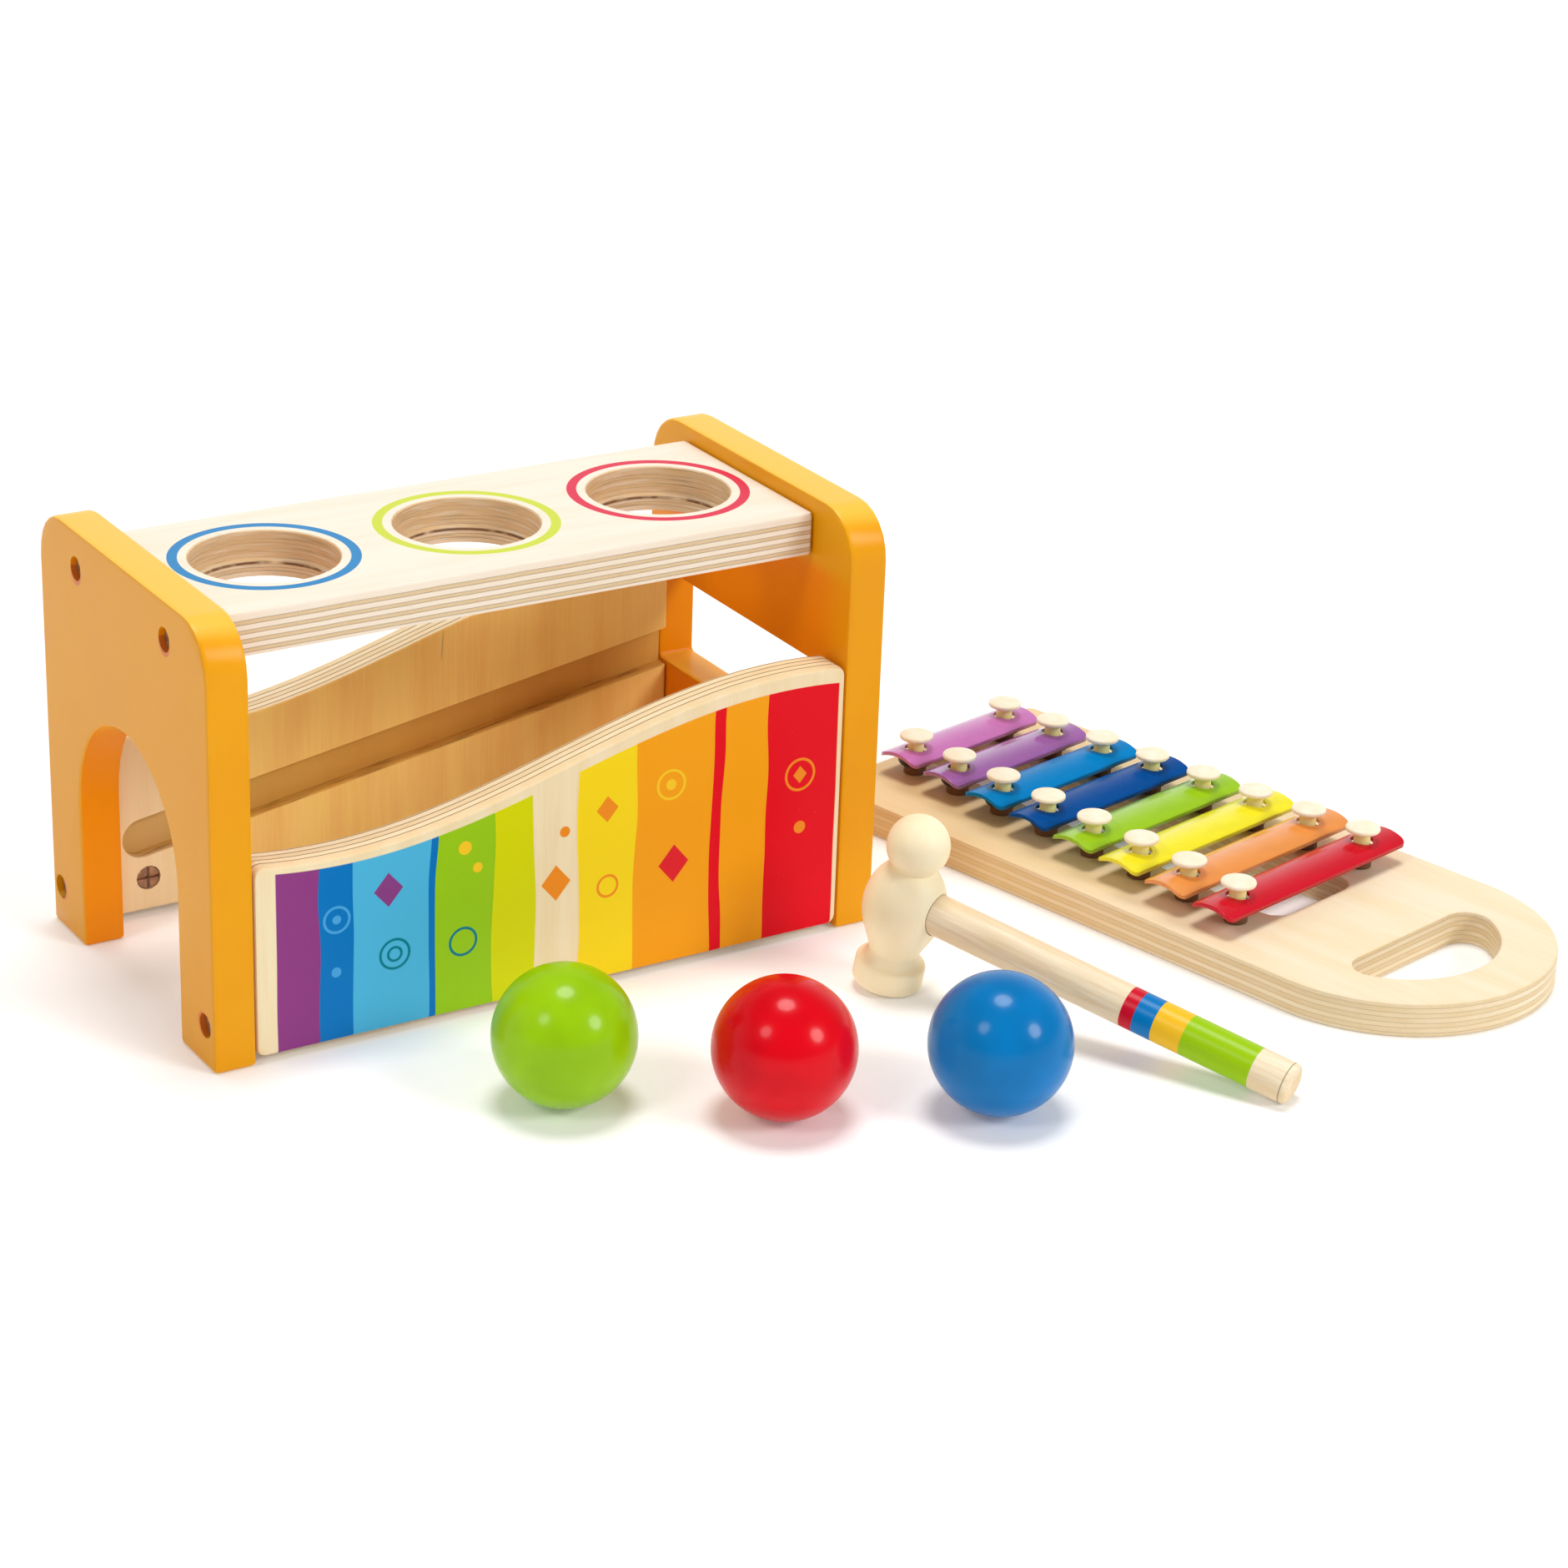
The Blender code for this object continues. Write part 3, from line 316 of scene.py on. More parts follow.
world = bpy.data.worlds.new("white_studio")
world.use_nodes = True
studio = Recipe(world.node_tree)
direction = studio.node("TexCoord", output="Generated")
_, back_way, up_way = studio.parts(direction, Matrix.Identity(4))
backdrop = studio.rise(back_way, -0.2, 0.6) * studio.fall(up_way, 0.35, 0.85)
sweep = studio.fall(up_way, 0.06, 0.20)
bright = either(backdrop, sweep)
background = world.node_tree.nodes["Background"]
feed(background.inputs["Color"], studio.blend(bright, ROOM_COLOUR, (1, 1, 1)))
feed(background.inputs["Strength"], ROOM_LIGHT + bright * (BACKDROP_LIGHT - ROOM_LIGHT))
bpy.context.scene.world = world
bpy.context.scene.view_settings.view_transform = "Standard"
for name, direction, width, strength in LAMPS:
    light = bpy.data.lights.new(name, "SUN")
    light.angle, light.energy = math.radians(width), strength
    lamp = add_object(name, light)
    lamp.location = direction
    lamp.rotation_mode = "QUATERNION"
    lamp.rotation_quaternion = Vector(direction).to_track_quat("Z", "Y")

paper = Finish("pale_paper")
x, y, z = paper.spot(Matrix.Identity(4))
fibre = paper.noise(x * 0.4, y * 0.4, 0, 3)
paper.surface(
    Base_Color=paper.blend(fibre, (0.89, 0.89, 0.89), (0.92, 0.92, 0.92)),
    Roughness=0.9,
    Normal=paper.bump(fibre, 0.02 * MM),
    Emission_Color=(1, 1, 1),
    Emission_Strength=0.12,
)
sheet = bpy.data.meshes.new("paper_sweep")
corners = [(-1, -1), (1, -1), (1, 1), (-1, 1)]
floor_corners = [(a * FLOOR_HALF, b * FLOOR_HALF, 0) for a, b in corners]
sheet.from_pydata(floor_corners, [], [(0, 1, 2, 3)])
sheet.materials.append(paper.material)
floor = add_object("paper_sweep", sheet)
print("lamps:", [name for name, *_ in LAMPS])

# %% [markdown]
# ## Wood figure
#
# Birch is pale and close grained. It has fine fibres about a millimetre apart, and broad faint
# bands under them. Both run along the plank, so the noise is stretched nine times or more along the
# grain. A picture of wood would need unwrapping on every edge and hole. A solid pattern runs
# through the board as real grain does, and every cut through it agrees with the next.

# %% Grow the grain
FIBRES = 1.1


def streaks(finish, along, across, through):
    """Fibres and broad figure: 0 in the pale wood and 1 in the dark streaks."""
    fibres = finish.noise(along * 0.045, across * FIBRES, through * FIBRES, 3, 0.6)
    figure = finish.noise(along * 0.012, across * 0.11, through * 0.11, 2)
    return finish.rise(fibres * 0.35 + figure * 0.65, 0.34, 0.66)


print("fibres are", round(1 / FIBRES, 2), "mm apart")

# %% [markdown]
# ## Plywood
#
# Plywood is a stack of thin sheets, each with its grain across its neighbour's, with dark lines of
# glue between. On a sawn edge, every second sheet shows its pale side grain and the others darker
# end grain, and round a corner the two swap. Stripes could be painted on the edges alone, but this
# way the holes get theirs from the same rule: the depth in the stack says which way the grain runs,
# and the surface's direction says how it is cut.

# %% Stack the plies
PALE_BIRCH = tint(246, 234, 218)
WARM_BIRCH = tint(241, 223, 200)
END_GRAIN = tint(212, 176, 112)
GLUE = tint(74, 44, 20)
OTHER_LOG = 31


def ply_stack(finish, depth, thickness, seams, glue_half):
    """Whether a ply's grain runs across, and how near its glue line is, each 0 to 1."""
    black, white = (0, 0, 0), (1, 1, 1)
    turns, lines = [(0, black)], [(0, black)]
    half = glue_half / thickness
    for count, seam in enumerate(seams):
        share = seam / thickness
        turns.append((share, black if count % 2 else white))
        lines += [(share - half, black), (share, white), (share + half, black)]
    down = {0: depth / thickness}
    crossed = finish.node("ValToRGB", {"stops": ("CONSTANT", turns)}, down)
    return crossed, finish.node("ValToRGB", {"stops": ("LINEAR", lines)}, down)


def birch_ply(finish, spot, facing, seams, tones, glue, cut_share):
    """Colour and height of plywood. spot is along the face grain, across it, and down the stack.
    seams are the depths of the glue lines, and the board's thickness last. glue is how strongly
    the lines show and half their width."""
    along, across, depth = spot
    drift = finish.noise(along * 0.04, across * 0.04, 0) - 0.5
    crossed, line = ply_stack(finish, depth + drift * 0.5, seams[-1], seams[:-1], glue[1])
    straight = streaks(finish, along, across, depth)
    turned = streaks(finish, across + OTHER_LOG, along, depth)
    grain = straight + crossed * (turned - straight)
    end = facing[0] + crossed * (facing[1] - facing[0])
    pores = finish.noise(along * 2.1, across * 2.1, depth * 2.1, 2, 0.7)
    speck = finish.rise(pores, 0.52, 0.72)
    wood = finish.blend(grain * 0.7, *tones)
    cut = finish.blend(end * (0.66 + speck * 0.34) * cut_share, wood, END_GRAIN)
    height = 0.5 - line * 0.5 - grain * 0.12 - end * speck * 0.35
    return finish.blend(line * glue[0], cut, GLUE), height


print("end grain tint:", [round(part, 2) for part in END_GRAIN])

# %% [markdown]
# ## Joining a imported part's triangles
#
# Each board is already right in shape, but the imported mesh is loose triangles, and light breaks at
# every one. A board could be drawn anew with curves and a bevel, but it is simpler and more exact
# to weld a copy's corners together and shade it smooth where faces meet gently. A weighted normal
# modifier keeps the broad faces flat, so that only the rounded edges roll the light.

# %% Weld a copy
SMOOTH_ANGLE = math.radians(40)
WELD_REACH = 0.001 * MM


def smoothed(mesh):
    """Shades a mesh smooth where its faces meet gently."""
    mesh.shade_smooth()
    mesh.set_sharp_from_angle(angle=SMOOTH_ANGLE)
    return mesh


def show(name, mesh, body, finish, node):
    """Puts a mesh on its moving body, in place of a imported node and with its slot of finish."""
    mesh.materials.clear()
    mesh.materials.append(finish)
    piece = add_object(name, mesh)
    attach(piece, body)
    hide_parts(node)
    return piece


def weld(name, node, body, finish):
    """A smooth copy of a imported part."""
    shape = bmesh.new()
    shape.from_mesh(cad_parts[node].data)
    bmesh.ops.remove_doubles(shape, verts=shape.verts, dist=WELD_REACH)
    mesh = bpy.data.meshes.new(name)
    shape.to_mesh(mesh)
    shape.free()
    if "custom_normal" in mesh.attributes:
        mesh.attributes.remove(mesh.attributes["custom_normal"])
    piece = show(name, smoothed(mesh), body, finish, node)
    piece.modifiers.new("even_light", "WEIGHTED_NORMAL").keep_sharp = True
    return piece


print("edges under", round(math.degrees(SMOOTH_ANGLE)), "degrees are smoothed")

# %% [markdown]
# ## Orange end panels
#
# The two end panels are sprayed with a satin yellow-orange lacquer. It has a very fine orange-peel
# skin, its colour drifts a little where the coat is thicker, and it pulls thin on the rounded rims,
# which are lighter, partly as a painted highlight along the edges. The broad outer faces are
# darkened by painted shade. The level edges are lighter and yellower by painted light from above.
# Inside, below the top board, and round the arch and the window, painted shade makes the orange
# redder. The bolts' recesses are browner, partly their own colour and partly painted shade. A flat
# colour with a bevel would look like plastic, so all of this is worked out from noise and from
# where and how the surface faces.

# %% Spray the end panels
ORANGE = tint(236, 162, 0)
DEEP_ORANGE = tint(232, 155, 0)
THIN_COAT_HIGHLIGHT_ORANGE = tint(252, 190, 50)
TOP_LIGHT_ORANGE = tint(255, 214, 90)
SHADED_ORANGE = tint(241, 134, 0)
OUTER_SHADE_ORANGE = tint(208, 143, 0)
RECESS_SHADE_BROWN = tint(206, 106, 34)
BORE_RADIUS, OUTLINE_INSET = 4.1, 9
INNER_FACE, BOARD_FOOT = 106.3, 126

spray = Finish("orange_lacquer")
x, y, z = spray.spot(BENCH)
panel_low, panel_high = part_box("left_end_panel")
panel_half, panel_top = (panel_high.y - panel_low.y) / 2 / MM, panel_high.z / MM
coat = spray.rise(spray.noise(x * 0.02, y * 0.02, z * 0.02, 3), 0.3, 0.7)
peel = spray.noise(x * 0.9, y * 0.9, z * 0.9, 2)
across_x, _, across_z = spray.facing(BENCH)
# Rounded rims are lighter: a thin, rubbed coat, and partly a painted highlight along the edges.
rim = spray.rise(across_x, 0.2, 0.6) * spray.fall(across_x, 0.8, 0.99)
rim_wear_and_highlight = rim * spray.rise(spray.noise(x * 0.15, y * 0.15, z * 0.15, 3), 0.35, 0.65)
colour = spray.blend(rim_wear_and_highlight * 0.5, spray.blend(coat, DEEP_ORANGE, ORANGE), THIN_COAT_HIGHLIGHT_ORANGE)
# Painted shade: the broad outer faces are darkened.
painted_outer_shade = spray.rise(across_x, 0.8, 0.99) * spray.rise(abs(x), INNER_FACE + 1, INNER_FACE + 3)
colour = spray.blend(painted_outer_shade * 0.5, colour, OUTER_SHADE_ORANGE)
# Painted light: level faces are lighter and yellower, as light from above makes them; it also gives
# the window sill less painted shade.
painted_top_light = spray.rise(across_z, 0.6, 0.95)
colour = spray.blend(painted_top_light * 0.6, colour, TOP_LIGHT_ORANGE)
# Painted shade: inner faces below the top board, and the arch and window edges, get a redder orange.
inside = spray.fall(abs(x), INNER_FACE - 0.2, INNER_FACE + 0.2)
inside *= spray.fall(z, BOARD_FOOT - 6, BOARD_FOOT)
inside *= spray.rise(abs(y), panel_half - 20, panel_half - 4, 1, 0.45)
opening = spray.fall(abs(y), panel_half - OUTLINE_INSET, panel_half - OUTLINE_INSET + 2)
opening *= spray.fall(z, panel_top - OUTLINE_INSET - 2, panel_top - OUTLINE_INSET)
opening *= spray.fall(across_x, 0.3, 0.7)
opening *= 0.75 - painted_top_light * 0.4
colour = spray.blend(either(inside, opening), colour, SHADED_ORANGE)
# Bolt recesses are browner: partly the walls' own darker colour, partly painted shade.
for height in ("low", "high"):
    axis = (BENCH.inverted() @ box_middle(f"bolt_left_back_{height}")) / MM
    away, above = abs(y) - abs(axis.y), z - axis.z
    distance = spray.reach(away, above)
    bore = spray.fall(distance, BORE_RADIUS, BORE_RADIUS + 0.2)
    colour = spray.blend(bore * 0.9, colour, RECESS_SHADE_BROWN)
spray.surface(
    Base_Color=colour,
    Roughness=0.30 + coat * 0.03 + rim_wear_and_highlight * 0.10,
    Normal=spray.bump(peel, 0.010 * MM),
    Specular_IOR_Level=0.18,
)
for side in ("left", "right"):
    node = f"{side}_end_panel"
    weld(f"{side}_end_lacquered", node, "bench", spray.material)

# %% [markdown]
# ## Top board and its printed rings
#
# The top board is nine plies of birch with three ball holes. A printed ring runs round each: blue,
# yellow-green and pink-red. The rings could be thin meshes laid on the board, but real ink has no
# thickness. So each point asks how far it is from the nearest hole, and the ink lies between two
# radii, over the relief of the grain. The same distance finds the holes' walls, where the drill has
# rubbed the plies together and toasted them. A dark line at the step near each hole's bottom is
# painted shadow, and the wall below the step is paler, as painted light on its ledge.

# %% Print the rings
HOLE_PITCH, TOP_SURFACE = 71, 141
RING_INNER, RING_OUTER, RING_SOFT = 27, 30.3, 0.15
TOP_SEAMS = (2.9, 4.3, 6.1, 7.3, 9, 10.3, 12, 13.3, 15)
HOLE_RADIUS, LIP_HEIGHT = 23.9, 130.5
RING_COLOURS = (tint(8, 130, 192), tint(204, 216, 50), tint(220, 18, 66))
TOASTED = tint(229, 194, 147)
BURNT_AND_SHADOW_BROWN = tint(100, 58, 30)


def between(finish, value, low, high, soft):
    """1 between two limits, with soft ends."""
    start = finish.rise(value, low - soft, low + soft)
    return start * finish.fall(value, high - soft, high + soft)


top = Finish("ringed_birch_ply")
x, y, z = top.spot(BENCH)
facing = top.facing(BENCH)
tones = (PALE_BIRCH, WARM_BIRCH)
spot = (x, y, TOP_SURFACE - z)
colour, height = birch_ply(top, spot, facing, TOP_SEAMS, tones, (0.5, 0.24), 0.9)
column = top.node("Math", {"operation": "ROUND"}, {0: x / HOLE_PITCH})
from_hole = x - column * HOLE_PITCH
radius = top.reach(from_hole, y)
ring = between(top, radius, RING_INNER, RING_OUTER, RING_SOFT)
on_top = top.rise(z, TOP_SURFACE - 0.3, TOP_SURFACE - 0.1)
in_hole = top.fall(radius, HOLE_RADIUS + 0.3, HOLE_RADIUS + 0.7)
in_hole *= top.fall(facing[2], 0.7, 0.95)
rubbed = top.noise(x * 0.10, y * 0.10, z * 1.3, 3, 0.6)
# Painted shadow: a dark line round each hole at the step.
painted_step_shadow = between(top, z, LIP_HEIGHT - 0.45, LIP_HEIGHT + 0.35, 0.25)
painted_step_shadow *= top.rise(top.noise(x * 0.12, y * 0.12, 9, 2), 0.32, 0.55)
toast_and_ledge_light = top.rise(rubbed, 0.30, 0.66, 0.25, 1)
# Painted light: below the step the wall is toasted less, and so paler, where the ledge catches
# light.
toast_and_ledge_light *= top.rise(z, LIP_HEIGHT - 1.2, LIP_HEIGHT, 0.45, 1)
colour = top.blend(in_hole * toast_and_ledge_light, colour, TOASTED)
arcs = top.rise(top.noise(x * 0.05, y * 0.05, z * 2.6, 2, 0.6), 0.54, 0.66)
colour = top.blend(in_hole * arcs * 0.3, colour, BURNT_AND_SHADOW_BROWN)
colour = top.blend(in_hole * painted_step_shadow * 0.9, colour, BURNT_AND_SHADOW_BROWN)
thirds = [(i / 3, RING_COLOURS[i]) for i in range(3)]
ink = top.node("ValToRGB", {"stops": ("CONSTANT", thirds)}, {0: (column + 1.5) / 3})
shown = ring * on_top
top.surface(
    Base_Color=top.blend(shown, colour, ink),
    Roughness=0.46 - shown * 0.12,
    Normal=top.bump(height, 0.08 * MM),
    Specular_IOR_Level=0.16,
)
weld("top_board_ply", "top_board", "bench", top.material)
print("rings are", RING_OUTER - RING_INNER, "mm wide")

# %% [markdown]
# ## Side panels
#
# The front and back panels are thicker plies, whose glue lines show as fine dark threads along the
# wavy top edge. Their face grain runs up and down. The stack is counted from the outer face, so the
# two panels measure their depth from opposite sides. Inside, the wood is painted amber as painted
# warm shade, with darker grain and one fine crack. The painted shade is lighter near the open left
# end, where light comes in, and the groove is darker still, as painted shadow.

# %% Finish the back panel
SIDE_FACE, SIDE_INNER = 64.5, 50.5
SIDE_SEAMS = (4.2, 6.9, 9.7, 12.4, 14)
SIDE_GLUE = (1, 0.36)
HONEY_BIRCH, DEEP_HONEY = tint(243, 226, 191), tint(236, 211, 165)
INNER_SHADE_AMBER, INNER_SHADE_DEEP_AMBER = tint(255, 221, 114), tint(239, 177, 78)
GROOVE_SHADE_AMBER, GROOVE_SHADE_GOLD = tint(206, 146, 58), tint(204, 160, 74)
OPEN_END, BELOW_WAVE = -80, 62
CRACK_X, CRACK_LOW, CRACK_TOP, CRACK_HALF = 17, 73, 82, 0.22


def side_ply(finish, outward):
    """Plywood of a side panel, whose outer face looks along y times outward."""
    x, y, z = finish.spot(BENCH)
    face_x, face_y, face_z = finish.facing(BENCH)
    spot = (z, x, SIDE_FACE - y * outward)
    tones = (HONEY_BIRCH, DEEP_HONEY)
    colour, height = birch_ply(finish, spot, (face_z, face_x), SIDE_SEAMS, tones, SIDE_GLUE, 0.35)
    inside = finish.fall(y * outward, SIDE_FACE - 4.5, SIDE_FACE - 4)
    facing_in = finish.rise(face_y, 0.5, 0.9)
    ledge = finish.fall(z, BELOW_WAVE - 2, BELOW_WAVE)
    inside *= either(facing_in, ledge)
    groove = finish.rise(y * outward, SIDE_INNER + 1, SIDE_INNER + 3)
    # Painted warm shade on the inner faces, lighter near the open left end, where light comes in.
    painted_inner_shade = inside * finish.rise(x, OPEN_END - 8, OPEN_END + 30, 0.15, 0.95)
    soft = finish.noise(x * 0.03, z * 0.012, 4, 2) * 0.5
    shade_grain_and_crack = finish.blend(soft + streaks(finish, z, x, 40) * 0.45, INNER_SHADE_AMBER, INNER_SHADE_DEEP_AMBER)
    from_crack = x - CRACK_X - (z - CRACK_LOW) * 0.06
    crack = between(finish, from_crack, -CRACK_HALF, CRACK_HALF, 0.15)
    crack *= between(finish, z, CRACK_LOW, CRACK_TOP, 2)
    shade_grain_and_crack = finish.blend(crack * 0.5, shade_grain_and_crack, GLUE)
    colour = finish.blend(painted_inner_shade * 0.85, colour, shade_grain_and_crack)
    # Painted shadow: the groove is darker, a little less so near the open left end.
    groove_shade_tone = finish.blend(finish.rise(x, OPEN_END - 8, OPEN_END + 120), GROOVE_SHADE_GOLD, GROOVE_SHADE_AMBER)
    colour = finish.blend(inside * groove * 0.75, colour, groove_shade_tone)
    torn = finish.rise(finish.noise(x * 0.06, y * 0.8, 2, 3, 0.6), 0.48, 0.66)
    torn *= finish.rise(face_z, 0.8, 0.95) * ledge
    torn *= finish.rise(y * outward, SIDE_INNER + 0.3, SIDE_INNER + 0.8)
    return finish.blend(torn * inside * 0.55, colour, GLUE), height


back = Finish("back_birch_ply")
colour, height = side_ply(back, 1)
back.surface(
    Base_Color=colour,
    Roughness=0.48,
    Normal=back.bump(height, 0.08 * MM),
    Specular_IOR_Level=0.25,
)
weld("back_panel_ply", "back_panel", "bench", back.material)
print("side panels have", len(SIDE_SEAMS), "plies")

# %% [markdown]
# ## The printed front
#
# The front panel wears a bright screen print: upright bands of colour with small figures on them.
# The design here is a plain one of its own, with rings, dots and diamonds. Each band's edge wanders
# a little, as a hand-cut stencil's does. A ramp with hard steps holds the bands, and noise shifts
# where each point reads it. The print stops short of the wavy edge, so the bare birch frames it.

# %% Ink the bands
PRINT_LEFT, PRINT_RIGHT = -98.8, 103.4
MARGIN_LEFT, MARGIN_RIGHT = 2.2, 5.2
WAVE_MIDDLE, WAVE_HEIGHT = 80.2, 15.4
WAVE_CENTRE, WAVE_HALF_LENGTH = 4.75, 165.9
BARE = tint(238, 212, 168)
BANDS = (
    (PRINT_LEFT, tint(140, 58, 130)),
    (-84.6, tint(0, 114, 190)),
    (-73.2, tint(76, 178, 222)),
    (-47.4, tint(0, 114, 190)),
    (-44.9, tint(150, 198, 24)),
    (-24, tint(212, 214, 0)),
    (-9.5, BARE),
    (6.5, tint(246, 214, 22)),
    (27.5, tint(243, 160, 16)),
    (56, tint(226, 0, 26)),
    (59.5, tint(243, 160, 16)),
    (76.5, tint(226, 0, 26)),
)


def banded(finish, bands, low, high, value):
    """A value's way from low to high, 0 to 1, and its colour in a list of starts and tints."""
    share = (value - low) / (high - low)
    stops = [((start - low) / (high - low), colour) for start, colour in bands]
    return share, finish.node("ValToRGB", {"stops": ("CONSTANT", stops)}, {0: share})


front = Finish("printed_birch_ply")
x, y, z = front.spot(BENCH)
colour, height = side_ply(front, -1)
wander = front.noise(x * 0.04, 3, z * 0.022, 1) - 0.5
printed_x = x + wander * 5
across_print, ink = banded(front, BANDS, PRINT_LEFT, PRINT_RIGHT, printed_x)
swing = {0: (x - WAVE_CENTRE) * (math.pi / WAVE_HALF_LENGTH)}
crest = front.node("Math", {"operation": "SINE"}, swing) * WAVE_HEIGHT + WAVE_MIDDLE
margin = MARGIN_LEFT + across_print * (MARGIN_RIGHT - MARGIN_LEFT)
under_edge = front.rise(crest - z - margin, -0.2, 0.2)
in_print = between(front, x + wander * 1.2, PRINT_LEFT, PRINT_RIGHT, 0.2) * under_edge
bare_band = [band for _, band in BANDS].index(BARE)
bare_start, bare_end = BANDS[bare_band][0], BANDS[bare_band + 1][0]
inked = in_print * (1 - between(front, printed_x, bare_start, bare_end, 0.1))
print("bands:", len(BANDS), "over", round(PRINT_RIGHT - PRINT_LEFT), "mm")

# %% [markdown]
# ## Small figures over the bands
#
# Each figure is a question of distance. Near a centre is a dot, near a circle is a ring, and where
# the sum of the two offsets is small is a diamond. Later figures lie over earlier ones, as inks do.

# %% Print dots, rings and diamonds
SKY_INK = tint(70, 160, 220)
PLUM_INK = tint(134, 62, 132)
SEA_INK = tint(0, 120, 140)
SUN_INK = tint(246, 200, 40)
AMBER_INK = tint(238, 140, 30)
CHERRY_INK = tint(222, 30, 40)
FIGURES = (
    ("ring", -78.4, 44, 4.3, SKY_INK),
    ("dot", -78.4, 44, 1.5, SKY_INK),
    ("dot", -78.8, 26, 1.7, SKY_INK),
    ("diamond", -60.5, 50.5, 5, PLUM_INK),
    ("ring", -58.5, 28, 5, SEA_INK),
    ("ring", -58.5, 28, 2.3, SEA_INK),
    ("dot", -34, 59, 2.3, SUN_INK),
    ("dot", -29.5, 51.5, 1.7, SUN_INK),
    ("ring", -34.5, 27, 4.6, SEA_INK),
    ("diamond", -1.5, 40, 5.4, AMBER_INK),
    ("dot", 1.8, 57.5, 1.9, AMBER_INK),
    ("diamond", 17, 62, 3.9, AMBER_INK),
    ("ring", 17.5, 35, 3.6, AMBER_INK),
    ("ring", 40.5, 66, 5, SUN_INK),
    ("dot", 40.5, 66, 1.9, SUN_INK),
    ("diamond", 42, 38, 5.6, CHERRY_INK),
    ("ring", 89.5, 60, 5.4, AMBER_INK),
    ("diamond", 89.5, 60, 2.6, AMBER_INK),
    ("dot", 90, 41, 2.2, AMBER_INK),
)
LINE_HALF, EDGE = 0.45, 0.15


def figure(finish, shape, right_way, up_way, size):
    """How much of a point lies in a dot, a ring or a diamond of that size."""
    if shape == "diamond":
        return finish.fall(abs(right_way) + abs(up_way) * 0.85, size - EDGE, size + EDGE)
    distance = finish.reach(right_way, up_way)
    if shape == "ring":
        return finish.fall(abs(distance - size), LINE_HALF - EDGE, LINE_HALF + EDGE)
    return finish.fall(distance, size - EDGE, size + EDGE)


for shape, centre_x, centre_z, size, figure_ink in FIGURES:
    share = figure(front, shape, x - centre_x + wander, z - centre_z + wander, size)
    ink = front.blend(share, ink, figure_ink)
    if bare_start < centre_x < bare_end:
        inked = either(inked, share)
outside = front.fall(y, -SIDE_FACE + 0.35, -SIDE_FACE + 0.55)
pinholes = front.rise(front.noise(x * 1.3, z * 1.3, 7, 2), 0.72, 0.80)
shown = inked * outside * (1 - pinholes * 0.2)
front.surface(
    Base_Color=front.blend(shown, colour, ink),
    Roughness=0.46 - shown * 0.14,
    Normal=front.bump(height + shown * 0.25, 0.08 * MM),
    Specular_IOR_Level=0.12,
)
weld("front_panel_printed", "front_panel", "bench", front.material)
print("figures printed:", len(FIGURES))

# %% [markdown]
# ## Bolts and nuts
#
# Brown-passivated steel bolts hold the boards, each in a round nut with a slot to line it up by.
# Such a coating is never one brown: it is lighter and duller in patches. The imported solids are
# exact, so they are only welded smooth and plated. The nut's second, shallower slot is colour and
# bump alone: a dark line of painted shade.

# %% Plate the bolts
NUT_X, NUT_HEIGHT, NUT_SLOT_HALF = 92, 14.2, 0.5

plating = Finish("bronze_zinc")
x, y, z = plating.spot(BENCH)
stain = plating.rise(plating.noise(x * 0.6, y * 0.6, z * 0.6, 3), 0.3, 0.7)
from_nut = abs(abs(x) - NUT_X)
# Painted shade: the nut's second slot is a dark line, with only a bump for depth.
shaded_slot_mask = plating.fall(from_nut, NUT_SLOT_HALF - 0.15, NUT_SLOT_HALF + 0.15)
shaded_slot_mask *= plating.fall(z, NUT_HEIGHT + 5, NUT_HEIGHT + 6)
shaded_slot_mask *= plating.rise(plating.facing(BENCH)[1], 0.9, 0.97)
coating = plating.blend(stain, tint(142, 106, 84), tint(182, 138, 104))
plating.surface(
    Base_Color=plating.blend(shaded_slot_mask * 0.7, coating, tint(62, 44, 42)),
    Metallic=0.55,
    Roughness=0.36 + stain * 0.16,
    Normal=plating.bump(stain * 0.1 - shaded_slot_mask, 0.10 * MM),
)
bolts = [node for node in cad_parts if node.startswith("bolt_")]
for node in bolts:
    weld(f"{node}_plated", node, "bench", plating.material)
print("bolts:", len(bolts))

# %% [markdown]
# ## The xylophone board
#
# The board is seven plies of the same birch, with its face grain along its length. It has its own
# frame, so its plies and its grain turn with it. Handling has dulled the lacquer in soft patches.
# Towards the end that stays in the bench, amber is blended in as the bench's painted shadow.

# %% Finish the xylophone board
BOARD_TOP = 12
BOARD_SEAMS = (1.6, 3.4, 5.1, 6.9, 8.6, 10.4, 12)
BENCH_SHADOW_START, BENCH_SHADOW_END = 55, 205
BENCH_SHADOW_AMBER = tint(224, 180, 104)

board = Finish("xylophone_birch_ply")
x, y, z = board.spot(XYLOPHONE)
spot, tones = (x, y, BOARD_TOP - z), (tint(245, 229, 200), tint(239, 216, 174))
facing = board.facing(XYLOPHONE)
colour, height = birch_ply(board, spot, facing, BOARD_SEAMS, tones, (0.3, 0.25), 0.6)
dull = board.rise(board.noise(x * 0.03, y * 0.03, 5, 2), 0.35, 0.65)
# Painted shadow: amber towards the end in the bench, as the bench's shadow on the board.
painted_bench_shadow = board.rise(x, BENCH_SHADOW_START, BENCH_SHADOW_END, 0.5, 0)
colour = board.blend(painted_bench_shadow, colour, BENCH_SHADOW_AMBER)
board.surface(
    Base_Color=colour,
    Roughness=0.42 + dull * 0.10,
    Normal=board.bump(height, 0.08 * MM),
    Specular_IOR_Level=0.15,
)
weld("xylophone_ply", "xylophone_board", "xylophone", board.material)
print("first to last pegs in mm:", round(along_board.length / MM, 1))

